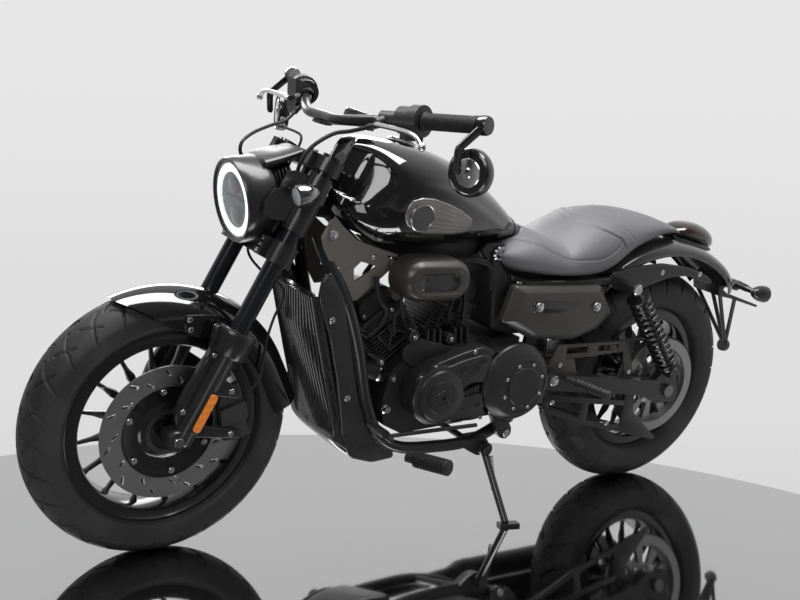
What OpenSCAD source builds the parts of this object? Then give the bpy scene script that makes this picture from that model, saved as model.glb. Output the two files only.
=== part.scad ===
// Cruiser motorcycle, parked on its side stand.
// Pieces are drawn on the upright machine: x forward from the rear axle, y to the rider's left,
// z up from the ground. parked() then leans the machine over and moves it to its own origin.

/* [Stance] */
// Distance between the two axles
wheelbase = 1420; // [1380:5:1460]
// Lean to the left on the side stand, degrees
lean_deg = 10.9; // [10:0.1:12]
// Steering axis from the vertical, degrees
rake_deg = 25.4; // [24:0.1:27]

/* [Front wheel] */
// Outer radius of the front tyre
front_tyre_r = 299; // [290:1:303]
// Width of the front tyre
front_tyre_w = 120; // [110:1:122]
// Bead seat radius of the front rim
front_bead_r = 203; // [195:1:208]
// Radius of the front brake disc
front_disc_r = 150; // [140:1:155]
// Spokes in the front wheel
front_spokes = 16; // [10:1:20]

/* [Rear wheel] */
// Outer radius of the rear tyre
rear_tyre_r = 310.5; // [300:1:314]
// Width of the rear tyre
rear_tyre_w = 150; // [140:1:154]
// Bead seat radius of the rear rim
rear_bead_r = 190.5; // [185:1:196]
// Radius of the belt pulley on the rear hub
rear_pulley_r = 136; // [125:1:140]
// Radius of the rear brake disc
rear_disc_r = 120; // [110:1:125]

/* [Fork] */
// Radius of the fork tubes
fork_tube_r = 20.5; // [18:0.5:22]
// Distance of each fork leg from the middle plane
fork_y = 98; // [97:1:102]
// Radius of the fork sliders
slider_r = 27; // [26:0.5:27.5]
// Steering lock to each side, degrees
steer_lock = 35; // [30:1:36]
// Distance from the steering axis forward to the wheel axle line
fork_offset = 48; // [45:1:52]

/* [Frame] */
// Radius of the main frame tubes
frame_tube_r = 15; // [13:0.5:17]
// Distance of the lower frame tubes from the middle plane
cradle_y = 112; // [108:1:116]

/* [Body] */
// Half width of the fuel tank
tank_half_w = 143; // [130:1:150]
// Half width of the seat
seat_half_w = 140; // [125:1:145]
// Half width of the rear fender
rear_fender_half_w = 100; // [94:1:104]
// Radius of the headlight rim
headlight_r = 93; // [85:1:98]

/* [Handlebar] */
// Distance of each bar end from the middle plane
bar_end_y = 405; // [380:1:420]
// Radius of the handlebar tube
bar_r = 11.1; // [11:0.1:12.7]

/* [Engine] */
// Angle between the two cylinders, degrees
vee_deg = 60; // [56:1:64]
// Distance of the outer engine covers from the middle plane
engine_half_w = 168; // [160:1:172]

/* [Side stand] */
// Distance of the stand's pivot from the middle plane
stand_pivot_y = 128; // [124:1:132]
// Fold of the stand up to its stored place, degrees
stand_fold = 82; // [70:1:85]

/* [Hidden] */
$fn = 48;

// Clearances
running_gap = 0.05;      // a shaft in its own bore
bearing_gap = 0.5;       // faces that turn past each other
moving_gap = 5;          // moving pieces past everything else

// Tyre crowns: the radius of the round tread, seen from the front
front_crown_r = 66;
rear_crown_r = 80;
// A leaned wheel rolls round its crown, so its axle stands a little higher
front_axle_z = front_tyre_r + front_crown_r * (1 / cos(lean_deg) - 1);
rear_axle_z = rear_tyre_r + rear_crown_r * (1 / cos(lean_deg) - 1);

// Where the origin lies on the upright machine's axes: under the middle of the parked one
origin_x = 638.5;
origin_y = 177.6;

// Places along the fork, from the wheel axle
leg_back = 12;           // leg's middle line behind the axle
slider_top_t = 262;
lower_clamp_t = [424, 470];
upper_clamp_t = [642, 672];
cover_t = [500, 632];
axle_r = 10;

// Parking and the steered parts

module parked() {
    translate([-origin_x, -origin_y, 0]) rotate([-lean_deg, 0, 0]) children();
}

module at_front_axle() {
    parked() translate([wheelbase, 0, front_axle_z]) children();
}

// x forward of the wheel axle, z up along the fork
module on_fork() {
    at_front_axle() rotate([0, -rake_deg, 0]) children();
}

module at_rear_axle() {
    parked() translate([0, 0, rear_axle_z]) children();
}

module both_sides() {
    children();
    mirror([0, 1, 0]) children();
}

// Small solid helpers

function unit(v) = v / norm(v);

// A round bar from a to b
module bar(a, b, r) {
    along(a, b) cylinder(h = norm(b - a), r = r);
}

// A cylinder across the machine, from y0 to y1, about the point [x, z]
module across(x, z, y0, y1, r) {
    translate([x, y1, z]) rotate([90, 0, 0]) cylinder(h = y1 - y0, r = r);
}

// A side-view outline made into a plate from y0 to y1
module side_plate(y0, y1) {
    translate([0, y1, 0]) rotate([90, 0, 0]) linear_extrude(height = y1 - y0) children();
}

// Smooth curve through points, n steps to a span
function curve_point(a, b, c, d, t) =
    0.5 * (2 * b + (c - a) * t + (2 * a - 5 * b + 4 * c - d) * t * t + (3 * b - a - 3 * c + d) * t * t * t);
function curve(p, n) = [
    for (i = [0:len(p) - 2], k = [0:n - 1])
        curve_point(p[max(i - 1, 0)], p[i], p[i + 1], p[min(i + 2, len(p) - 1)], k / n),
    p[len(p) - 1]
];

// A ring of points round a path's point
function ring(c, t, ref, r, sides) =
    let (u = unit(cross(t, ref)), v = unit(cross(t, u)))
        [for (k = [0:sides - 1]) c + r * (cos(360 * k / sides) * u + sin(360 * k / sides) * v)];
function tangent(p, i) = unit(p[min(i + 1, len(p) - 1)] - p[max(i - 1, 0)]);

// Twice a ring's area, as a vector along its normal
function turn(r, k = 0) = k == len(r) ? [0, 0, 0] : cross(r[k], r[(k + 1) % len(r)]) + turn(r, k + 1);

// A closed skin through rings of as many points each, with its faces turned outwards
module loft(rings) {
    m = len(rings[0]);
    last = len(rings) - 1;
    ordered = turn(rings[0]) * (rings[1][0] - rings[0][0]) > 0 ? [for (k = [last:-1:0]) rings[k]] : rings;
    polyhedron(
        points = [for (r = ordered) each r],
        faces = concat(
            [[for (k = [m - 1:-1:0]) k]],
            [[for (k = [0:m - 1]) last * m + k]],
            [for (i = [0:last - 1], k = [0:m - 1], far = [0, 1])
                far == 0 ? [i * m + k, i * m + (k + 1) % m, (i + 1) * m + (k + 1) % m]
                         : [i * m + k, (i + 1) * m + (k + 1) % m, (i + 1) * m + k]]
        ),
        convexity = 8
    );
}

// A round tube along a smooth path; ref is never along the path
module sweep(points, r, n = 4, sides = 10, ref = [0, 1, 0]) {
    p = curve(points, n);
    loft([for (i = [0:len(p) - 1]) ring(p[i], tangent(p, i), ref, r, sides)]);
}

// Section across the machine: half width w, from z0 to z1, squarer as e grows
function section(x, w, z0, z1, e = 2.5, n = 28, y = 0) = [
    for (k = [0:n - 1])
        let (a = 360 * k / n, c = cos(a), s = sin(a))
            [x, y + w * sign(c) * pow(abs(c), 2 / e), (z0 + z1) / 2 + (z1 - z0) / 2 * sign(s) * pow(abs(s), 2 / e)]
];

// Section with a round top above its widest level zm and a squarer bottom
function dome(x, w, z0, zm, z1, e = 3, n = 28) = [
    for (k = [0:n - 1])
        let (a = 360 * k / n, c = cos(a), s = sin(a), p = s > 0 ? 2.1 : e)
            [x, w * sign(c) * pow(abs(c), 2 / p), zm + (s > 0 ? z1 - zm : zm - z0) * sign(s) * pow(abs(s), 2 / p)]
];

// A helix of wire round z, from z = 0 to h
module coil(r, wire_r, h, turns) {
    n = turns * 10;
    p = [for (i = [0:n]) [r * cos(36 * i), r * sin(36 * i), wire_r + (h - 2 * wire_r) * i / n]];
    loft([for (i = [0:n]) ring(p[i], tangent(p, i), [0, 0, 1], wire_r, 6)]);
}

// z along the line from a to b
module along(a, b) {
    v = b - a;
    translate(a) rotate([0, acos(v.z / norm(v)), atan2(v.y, v.x)]) children();
}

// Wheels

// Half of a tyre's section, from the bead round to the crown, as [radius, y]
function tyre_side(tyre_r, w, crown_r, bead_r, bead_y) =
    let (
        a_end = asin((w / 2 - 3) / crown_r),
        shoulder_r = tyre_r - crown_r * (1 - cos(a_end)),
        mid_r = (shoulder_r + bead_r) / 2 + 6
    ) concat(
        [[bead_r + 0.3, bead_y - 8], [bead_r + 0.3, bead_y], [bead_r + 14, bead_y]],
        [for (k = [1:5]) let (a = 90 * k / 6)
            [bead_r + 14 + (mid_r - bead_r - 14) * (1 - cos(a)), bead_y + (w / 2 - bead_y) * sin(a)]],
        [[mid_r, w / 2]],
        [for (k = [6:-1:0]) let (a = a_end * k / 6) [tyre_r - crown_r * (1 - cos(a)), crown_r * sin(a)]]
    );

module tyre(tyre_r, w, crown_r, bead_r, bead_y) {
    half = tyre_side(tyre_r, w, crown_r, bead_r, bead_y);
    n = len(half) - 1;
    color("#1c1c1d") rotate([90, 0, 0]) rotate_extrude($fn = 96)
        polygon(concat(half, [for (k = [n - 1:-1:0]) [half[k][0], -half[k][1]]]));
}

// The rim's band, with a flange each side and a well between
module rim_band(bead_r, bead_y, wall) {
    rotate([90, 0, 0]) rotate_extrude($fn = 96) difference() {
        translate([bead_r - 16, -bead_y - wall]) square([30, 2 * (bead_y + wall)]);
        translate([bead_r, -bead_y]) square([15, 2 * bead_y]);
        translate([bead_r - 17, -bead_y + 9]) square([10, 2 * (bead_y - 9)]);
    }
}

// A hub with a bore for its axle
module hub(r, y0, y1) {
    difference() {
        across(0, 0, y0, y1, r);
        across(0, 0, y0 - 1, y1 + 1, axle_r + running_gap);
    }
}

front_bead_y = 38;
front_hub_y = 66;
rear_bead_y = 48;

module front_tyre() {
    at_front_axle() tyre(front_tyre_r, front_tyre_w, front_crown_r, front_bead_r, front_bead_y);
}

module spear_spoke(r0, r1, thick) {
    mid = (r0 + r1) / 2;
    side_plate(-thick / 2, thick / 2)
        polygon([
            [r0, -7], [mid - 22, -5], [mid + 12, -10], [r1 - 16, -4], [r1, -7],
            [r1, 7], [r1 - 16, 4], [mid + 12, 10], [mid - 22, 5], [r0, 7]
        ]);
}

module front_rim() {
    at_front_axle() color("#141415") {
        rim_band(front_bead_r, front_bead_y, 4.5);
        hub(30, -front_hub_y + 4, front_hub_y - 12);
        hub(44, -24, 24);
        for (k = [0:front_spokes - 1])
            rotate([0, -360 * k / front_spokes - 12.8, 0]) spear_spoke(40, front_bead_r - 4, 18);
        // disc carrier on the left of the hub
        difference() {
            across(0, 0, 49, disc_y - 2.5, front_disc_r - 44);
            across(0, 0, 48, 60, axle_r + running_gap);
            for (k = [0:8]) rotate([0, 40 * k, 0]) across(76, 0, 48, 60, 14);
        }
    }
}

disc_y = 61;
module front_disc() {
    at_front_axle() color("#b9babb") difference() {
        across(0, 0, disc_y - 2.2, disc_y + 2.2, front_disc_r);
        across(0, 0, disc_y - 3, disc_y + 3, front_disc_r - 46);
    }
}

module front_axle() {
    on_fork() color("#3a3a3c") {
        across(0, 0, -fork_y - 30, fork_y + 30, axle_r);
        // spacers
        across(0, 0, disc_y - 2, fork_y - slider_r, 15);
        across(0, 0, -fork_y + slider_r, -front_hub_y + 3.5, 15);
    }
}

module rear_tyre() {
    at_rear_axle() tyre(rear_tyre_r, rear_tyre_w, rear_crown_r, rear_bead_r, rear_bead_y);
}

module rear_rim() {
    at_rear_axle() color("#141415") {
        rim_band(rear_bead_r, rear_bead_y, 4.5);
        hub(38, -76, 84);
        hub(50, -28, 28);
        for (k = [0:front_spokes - 1])
            rotate([0, 360 * k / front_spokes + 10, 0]) spear_spoke(46, rear_bead_r - 4, 20);
    }
}

pulley_y = [86, 110];
module rear_pulley() {
    at_rear_axle() color("#77787a") difference() {
        union() {
            across(0, 0, pulley_y[0], pulley_y[1], rear_pulley_r - 3);
            across(0, 0, pulley_y[1] - 1, pulley_y[1] + 2, rear_pulley_r);
            across(0, 0, pulley_y[0] - 2, pulley_y[0] + 1, rear_pulley_r);
        }
        across(0, 0, pulley_y[0] - 3, pulley_y[1] + 3, axle_r + running_gap);
        across(0, 0, pulley_y[0] + 10, pulley_y[1] + 3, rear_pulley_r - 26);
        across(0, 0, pulley_y[0] - 3, pulley_y[1] + 3, 38.3);
        for (k = [0:9])
            rotate([0, 36 * k, 0]) side_plate(pulley_y[0] - 3, pulley_y[1] + 3)
                polygon([[58, -10], [rear_pulley_r - 32, -19], [rear_pulley_r - 32, 19], [58, 10]]);
    }
}

module rear_disc() {
    at_rear_axle() color("#b9babb") difference() {
        across(0, 0, -82.5, -78, rear_disc_r);
        for (k = [0:5]) rotate([0, 60 * k, 0]) across(68, 0, -90, -70, 20);
        across(0, 0, -90, -70, axle_r + running_gap);
    }
}

// Front suspension

module front_leg(t0, t1, r) {
    translate([-leg_back, fork_y, t0]) cylinder(h = t1 - t0, r = r);
}

module fork_tubes() {
    on_fork() color("#2a2b2d") both_sides() front_leg(slider_top_t, upper_clamp_t[1] + 8, fork_tube_r);
}

module fork_covers() {
    on_fork() color("#1d1d1e") both_sides() difference() {
        front_leg(cover_t[0], cover_t[1], fork_tube_r + 7);
        front_leg(cover_t[0] - 1, cover_t[1] + 1, fork_tube_r + 0.1);
    }
}

module fork_sliders() {
    on_fork() color("#252527") {
        both_sides() difference() {
            union() {
                front_leg(-8, 214, slider_r);
                // wide collar that guards the seal
                intersection() {
                    translate([-leg_back + 6, fork_y + 4, 206]) cylinder(h = slider_top_t - 206, r1 = 40, r2 = 45);
                    translate([-80, fork_y - slider_r, 200]) cube([140, 64, 70]);
                }
                // fin in front, for the fender and the axle clamp
                side_plate(fork_y - 8, fork_y + 8)
                    polygon([[-10, 240], [30, 246], [36, 262], [46, 250], [24, 186], [28, 170], [36, 90], [30, 48], [14, 26], [-10, 24]]);
                across(0, 0, fork_y - 25, fork_y + 22, 24);
                // pad for the reflector
                translate([-30, fork_y + 10, 28]) cube([22, 18.4, 100]);
                // caliper lugs
                side_plate(caliper_y, caliper_y + 12) polygon([[-20, 158], [-94, 148], [-94, 130], [-20, 108]]);
                side_plate(caliper_y, caliper_y + 12) polygon([[-20, 40], [-140, 66], [-150, 52], [-20, 8]]);
            }
            across(0, 0, fork_y - 40, fork_y + 40, axle_r + running_gap);
            front_leg(130, 300, fork_tube_r + 0.1);
        }
    }
}

module fork_reflectors() {
    on_fork() color("#d9741a") both_sides() side_plate(fork_y + 28.7, fork_y + 32.8) {
        for (t = [43, 114]) translate([-19, t]) circle(r = 9);
        translate([-28, 43]) square([18, 71]);
    }
}

module triple_clamps() {
    on_fork() color("#222223") {
        for (t = [lower_clamp_t, upper_clamp_t]) difference() {
            union() {
                both_sides() translate([-leg_back, fork_y, t[0]]) cylinder(h = t[1] - t[0], r = fork_tube_r + 11);
                translate([-fork_offset - 22, -30, t[0]]) cube([44, 60, t[1] - t[0]]);
                translate([-fork_offset + 4, -fork_y, t[0]]) cube([31.6, 2 * fork_y, t[1] - t[0]]);
                both_sides() translate([10, fork_y - 26, t[0]]) cube([22, 20, t[1] - t[0]]);
            }
            both_sides() translate([-leg_back, fork_y, t[0] - 1]) cylinder(h = 60, r = fork_tube_r + 0.1);
            // notch for the brake hose
            translate([-22.4, -69, t[0] - 1]) cube([20, 23, 60]);
        }
        // stem that turns in the head tube
        translate([-fork_offset, 0, lower_clamp_t[1] - 1])
            cylinder(h = upper_clamp_t[0] - lower_clamp_t[1] + 2, r = 13);
        // plate in front of the upper clamp
        translate([-30, -34, upper_clamp_t[1] - 8]) cube([48.5, 68, 6]);
    }
}

// Half of the fender's outline across the wheel, outer skin or inner, down to radius r_low
function fender_half(r, y_side, r_low) =
    let (a_side = asin(y_side / r), r_mid = front_tyre_r - front_crown_r)
        concat([[r_low, y_side]], [for (k = [6:-1:0]) [r_mid + r * cos(a_side * k / 6), r * sin(a_side * k / 6)]]);
module fender_skin() {
    outer = fender_half(front_crown_r + 11, 68, 233);
    inner = fender_half(front_crown_r + 8, 65, 230);
    difference() {
        polygon(concat(outer, [for (k = [len(outer) - 2:-1:0]) [outer[k][0], -outer[k][1]]]));
        polygon(concat(inner, [for (k = [len(inner) - 2:-1:0]) [inner[k][0], -inner[k][1]]]));
    }
}

module front_fender() {
    at_front_axle() color("#0c0c0d") {
        difference() {
            union() {
                rotate([90, 0, 0]) rotate([0, 0, 60]) rotate_extrude(angle = 92, $fn = 96) fender_skin();
                // straight tail
                rotate([0, -152, 0]) translate([0, 0, -0.01]) linear_extrude(height = 100) fender_skin();
            }
            // slanted front edge
            side_plate(-90, 90) polygon([[94, 297], [26, 233], [0, 190], [220, 190], [220, 400], [140, 340]]);
        }
        // stays to the fork legs
        both_sides() side_plate(67, fork_y - slider_r - 0.2)
            polygon([[-96, 262], [-12, 262], [-16, 222], [-60, 208], [-100, 226]]);
    }
}

caliper_y = 84;          // where the caliper is bolted against its lugs
module front_caliper() {
    at_front_axle() color("#1a1a1b") rotate([0, -164, 0]) difference() {
        union() {
            side_plate(disc_y - 28, disc_y + 30) polygon([
                [120, -44], [166, -42], [174, -12], [174, 12], [166, 42], [120, 46], [112, 18], [112, -18]
            ]);
            // ears against the lugs
            side_plate(disc_y + 9, caliper_y - 0.2) polygon([[118, 20], [166, 20], [172, 62], [150, 66], [112, 58]]);
            side_plate(disc_y + 9, caliper_y - 0.2) polygon([[130, -62], [168, -66], [172, -20], [120, -20]]);
        }
        across(0, 0, disc_y - 7.5, disc_y + 7.5, front_disc_r + 7);
        side_plate(caliper_y - 0.2, disc_y + 40) polygon([[60, 24], [190, 18], [190, 90], [60, 90]]);
        side_plate(caliper_y - 0.2, disc_y + 40) polygon([[60, -16], [190, -22], [190, -90], [60, -90]]);
    }
}

// Lamp and what stands on the fork

lamp_x = 99;             // middle of the lamp's rim, forward of the axle line
lamp_t = 497;            // and up the fork
lamp_tip = 9.4;          // its face looks this far down, degrees

// x out of the lamp's face, at the middle of its rim
module at_lamp() {
    on_fork() translate([lamp_x, 0, lamp_t]) rotate([0, rake_deg + lamp_tip, 0]) children();
}

module headlight_housing() {
    color("#1b1b1c") difference() {
        at_lamp() {
            difference() {
                rotate([0, -90, 0]) cylinder(h = 78, r = headlight_r);
                translate([-14, 0, 0]) rotate([0, 90, 0]) cylinder(h = 20, r = headlight_r - 13);
            }
            // finned back, between the fork legs
            for (k = [0:4]) loft([section(-83 - 9 * k, 62, -84 + 2 * k, 82, 2.4), section(-87 - 9 * k, 62, -84 + 2 * k, 82, 2.4)]);
            loft([section(-77, 54, -74, 72, 2.4), section(-136, 48, -66, 70, 2.4)]);
            // cowl that runs back over the top
            loft([
                section(-60, headlight_r * 0.62, 60, headlight_r - 2, 3),
                section(-100, headlight_r * 0.60, 70, headlight_r + 3, 3),
                section(-156, headlight_r * 0.50, 84, headlight_r + 8, 3)
            ]);
        }
        // room for the head tube and the clamps
        on_fork() translate([-212, -200, 300]) cube([200, 400, 500]);
    }
}

module headlight_lens() {
    at_lamp() color("#e8ecef") {
        translate([-13.8, 0, 0]) rotate([0, 90, 0]) cylinder(h = 8, r = headlight_r - 13.2);
        translate([-6, 0, 0]) rotate([0, 90, 0]) cylinder(h = 4, r1 = headlight_r - 18, r2 = headlight_r - 34);
    }
}

module headlight_bracket() {
    on_fork() color("#1d1d1e") both_sides() {
        difference() {
            side_plate(fork_y - 2, fork_y + 4)
                polygon([[12, 516], [46, 502], [74, 506], [80, 524], [74, 560], [64, 566], [66, 606], [50, 616], [12, 622]]);
            front_leg(490, 640, fork_tube_r + 7.05);
        }
        // clamp round the fork cover
        difference() {
            front_leg(576, 600, fork_tube_r + 11);
            front_leg(570, 610, fork_tube_r + 7.05);
        }
        // pivot of the lamp
        across(66, 520, headlight_r + 0.3, fork_y - 1, 11);
    }
}

// An indicator's round body, its lens facing x
module bullet(r, l) {
    rotate([0, -90, 0]) rotate_extrude() polygon([
        [0, 0], [r - 3, 0], [r, 3], [r, 12], [r * 0.95, l * 0.42], [r * 0.82, l * 0.62], [r * 0.6, l * 0.82], [r * 0.36, l * 0.95], [0, l]
    ]);
}

module front_indicators() {
    on_fork() color("#2b2c2e") both_sides() {
        translate([50, 150, 565]) rotate([0, rake_deg + 14, 0]) bullet(24, 54);
        bar([42, fork_y + 4.8, 576], [40, 138, 574], 8.5);
    }
}

// Handlebar: x and z from the middle of its clamps, upright when the steering is straight
module at_bar() {
    on_fork() translate([2, 0, 756]) rotate([0, rake_deg, 0]) children();
}

// Handlebar

// The bar's straight outer part, at y
function at_grip(y) = [-68 - 0.32 * (y - 200), y, 25 + 0.115 * (y - 200)];
bar_side = [
    [0, 20, 0], [0, 56, 0], [-12, 96, 5], [-38, 150, 15], at_grip(200), at_grip(240), at_grip(300), at_grip(bar_end_y - 12)
];
module handlebar() {
    color("#202021") {
        difference() {
            at_bar() both_sides() side_plate(30, 60) polygon([[12, -110], [18, -30], [14, -4], [2, 22], [-12, 26], [-40, 10], [-24, -20], [-8, -80], [-2, -120]]);
            on_fork() translate([-200, -200, upper_clamp_t[1] - 200]) cube([400, 400, 200]);
        }
        at_bar() sweep(concat(
            [for (k = [len(bar_side) - 1:-1:0]) [bar_side[k].x, -bar_side[k].y, bar_side[k].z]],
            bar_side
        ), bar_r, n = 3, sides = 16, ref = [0, 0, 1]);
    }
}

module instrument() {
    at_bar() color("#1a1a1b") {
        translate([-100, 0, 8]) rotate([0, -17, 0]) translate([0, 0, -26]) cylinder(h = 26, r = 38);
        translate([-104, -14, -17.6]) cube([114, 28, 6]);
        side_plate(-29.7, 29.7) polygon([[-10, -18], [6, -18], [6, -11.5], [-10, -11.5]]);
    }
}

module grips() {
    at_bar() color("#1a1a1a") both_sides() difference() {
        union() {
            bar(at_grip(264), at_grip(bar_end_y - 12.4), 17.5);
            bar(at_grip(263.6), at_grip(269), 20);
        }
        bar(at_grip(255), at_grip(bar_end_y), bar_r + 0.1);
    }
}

module controls() {
    at_bar() color("#1e1e1f") {
        both_sides() {
            difference() {
                union() {
                    bar(at_grip(206), at_grip(240), 29);
                    bar(at_grip(238), at_grip(261), 33);
                    translate([-94, 236, -10]) cube([44, 22, 24]);
                    // lever's perch
                    bar([-48, 166, 20.5], [-65, 201, 24.5], 18);
                    bar([-54, 180, 22], [-24, 180, 12], 12);
                }
                bar(at_grip(150), at_grip(300), bar_r + 0.9);
                bar([-34, 146, 14], at_grip(203), bar_r + 1.2);
                bar([-38, 150, 15], at_grip(200), bar_r + 1.2);
            }
        }
        // brake fluid box on the right
        difference() {
            side_plate(-222, -180) polygon([[-24, 58], [-60, 50], [-62, 42], [-47, 40], [-43, -14], [-34, -24], [-30, -10]]);
            bar([-36, -146, 14], [-69, -203, 25], bar_r + 0.1);
        }
    }
}

module levers() {
    at_bar() color("#c9cacb") both_sides() {
        sweep([[-20, 193, 11], [-21, 220, 12], [-21, 270, 13.5], [-21, 310, 13.5], [-22, 334, 9], [-24, 352, -4]], 6.5, n = 3, sides = 10, ref = [1, 0, 0]);
        translate([-24.4, 353, -6]) sphere(r = 8.5);
    }
}

module mirrors() {
    at_bar() color("#161617") both_sides() {
        bar(at_grip(bar_end_y - 11.7), at_grip(bar_end_y + 9), 20);
        side_plate(bar_end_y - 4, bar_end_y + 4) polygon([[-142, 42], [-124, 54], [-118, 50], [-67, 3], [-74, -50], [-90, -50], [-84, -3], [-130, 36]]);
        bar([-82, bar_end_y, -45], [-102, bar_end_y + 5, -45], 8);
        translate([-115, bar_end_y, -45]) rotate([0, 0, 20]) rotate([0, 90, 0]) translate([0, 0, -14]) cylinder(h = 28, r = 48);
    }
}

module cables() {
    on_fork() color("#151516") {
        // clutch cable, from the left lever to behind the lamp
        sweep([[-14, 172, 767], [0, 132, 742], [14, 104, 724], [34, 94, 690], [43, 90, 661], [40, 84, 628], [26, 81, 592], [14.6, 80, 552]], 4.5, n = 5, sides = 8, ref = [1, 0, 0]);
        // throttle cables, from the right grip
        sweep([[-30, -170, 762], [-10, -158, 722], [30, -138, 690], [70, -112, 656], [96, -88, 624], [88, -84, 600], [62, -84, 594], [36, -82, 592], [14.2, -80, 560]], 4, n = 5, sides = 8, ref = [0, 0, 1]);
        // brake hose, down between the lamp and the clamps to the caliper
        sweep([
            [-24, -196, 724], [-14, -150, 708], [-14, -104, 706], [-17, -74, 702], [-19, -63.6, 684], [-19, -63.6, 650], [-19, -60, 600], [-19, -54, 460], [-22, -44, 418], [-48, -4, 396],
            [-88, 34, 388], [-104, 46, 366], [-98, 60, 320], [-100, 74, 270], [-116, 80, 220], [-124, 86, 186], [-114, 90, 156]
        ], 3, n = 3, sides = 8, ref = [1, 0, 0]);
    }
}

// Frame

head_base = [wheelbase - fork_offset * cos(rake_deg), 0, front_axle_z - fork_offset * sin(rake_deg)];
function up_head(t) = head_base + t * [-sin(rake_deg), 0, cos(rake_deg)];

module frame_backbone() {
    parked() color("#19191a") {
        difference() {
            union() {
                bar(up_head(lower_clamp_t[1] + bearing_gap), up_head(upper_clamp_t[0] - bearing_gap), 27);
                sweep(spine_path, spine_r, n = 3, sides = 12);
            }
            bar(up_head(lower_clamp_t[1] - 5), up_head(upper_clamp_t[0] + 5), 13 + bearing_gap);
        }
    }
}

spine_r = 22;
spine_path = [up_head(560), [1000, 0, 770], [900, 0, 748], [760, 0, 722], [600, 0, 690]];
cradle_path = [
    [1112, 22, 776], [1084, 60, 684], [1042, cradle_y - 12, 590], [1002, cradle_y, 478], [964, cradle_y, 353],
    [917, cradle_y, 262], [850, cradle_y, 222], [740, cradle_y, 212], [650, cradle_y, 214], [575, 102, 230], [506, 95.8, 262]
];
module cradle_tube(r) {
    sweep(cradle_path, r, n = 3, sides = 12);
}

module frame_cradle() {
    parked() color("#19191a") {
        both_sides() difference() {
            cradle_tube(frame_tube_r);
            bar(up_head(440), up_head(700), 27.3);
            bar(up_head(560), [1000, 0, 770], spine_r + 0.5);
        }
        // tie between the lower tubes
        bar([640, -100, 214], [640, 100, 214], 9);
        // side stand's lug and pin
        side_plate(88, stand_pivot_y - bearing_gap) polygon([[650, 226], [668, 206], [640, 190], [620, 180], [596, 178], [584, 192], [586, 212], [600, 228]]);
        across(stand_pivot[0], stand_pivot[1], stand_pivot_y - 10, stand_pivot_y + 17, 8);
        across(stand_pivot[0], stand_pivot[1], stand_pivot_y + 16 + bearing_gap, stand_pivot_y + 22, 13);
    }
}

module rear_rail(r) {
    sweep([[606, 14, 686], [578, 70, 642], [545, 103, 622], [480, 104, 617], [400, 104, 616], [330, 106, 618], [255.6, 106.4, 620]], r, n = 3, sides = 12);
}
module frame_rear() {
    parked() color("#19191a") {
        both_sides() {
            difference() {
                rear_rail(11);
                bar([540, 0, 678], [760, 0, 722], spine_r + 0.3);
            }
            // pivot plates for the swingarm
            difference() {
                side_plate(66, 80) polygon([
                    [499, 298], [516, 252], [470, 246], [398, 330], [388, 372], [400, 430], [416, 590], [422, 608], [452, 608], [462, 590], [480, 440], [484, 372], [497, 330]
                ]);
                across(pivot_at[0], pivot_at[1], 60, 90, 22.1);
            }
        }
        // cross tube that ties the plates to the rails
        across(436, 600, -104, 104, 9);
    }
}

module frame_side_plates() {
    parked() color("#6b6862") both_sides() difference() {
        side_plate(74, 80) polygon([
            [1121, 764], [1098, 700], [1062, 640], [1024, 582], [1000, 584], [904, 668], [906, 690], [958, 704], [1016, 722], [1058, 754], [1080, 776]
        ]);
        side_plate(70, 84) polygon([[1014, 626], [1018, 658], [1001, 674], [957, 662]]);
        cradle_tube(frame_tube_r + 0.3);
        // room for the fork at full lock
        for (a = [steer_lock + 1, steer_lock - 9]) fork_sweep(a) {
            front_leg(470, 566, 33.5);
            front_leg(565, 700, 37);
        }
    }
}

// Along the radiator's face: z up it
module at_radiator() {
    parked() translate([1014, 0, 262]) rotate([0, 17.3, 0]) children();
}

// Cooling

module radiator() {
    at_radiator() color("#1a1a1b") {
        translate([-38.3, -84, 20]) cube([30, 168, 290]);
        // side tanks
        both_sides() translate([-34, 84, 40]) cube([22, 8, 240]);
    }
}

module radiator_shroud() {
    parked() color("#1e1e1f") difference() {
        union() {
            both_sides() side_plate(105.5, 112) polygon([
                [1124, 600], [1116, 640], [1094, 662], [1056, 606], [1020, 500], [986, 370], [950, 286], [900, 234], [864, 212], [862, 196],
                [925, 190], [990, 208], [1030, 262], [1040, 312], [1066, 410], [1092, 506]
            ]);
            // chin
            loft([
                section(1034, 106, 258, 300, 5),
                section(1010, 110, 226, 300, 5),
                section(975, 112, 203, 282, 5),
                section(925, 112, 190, 236, 5),
                section(864, 110, 190, 208, 5)
            ]);
            translate([1014, 0, 262]) rotate([0, 17.3, 0]) translate([-8, -106, 6]) cube([8, 212, 346]);
        }
        both_sides() cradle_tube(frame_tube_r + 0.4);
        translate([1014, 0, 262]) rotate([0, 17.3, 0]) translate([-39, -92.4, 19.6]) cube([30.8, 184.8, 300]);
    }
}

// Engine

crank = [785, 372];      // of the crankshaft, x and z
vee_mid = 7;             // the cylinders' middle line leans this far forward, degrees

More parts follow.
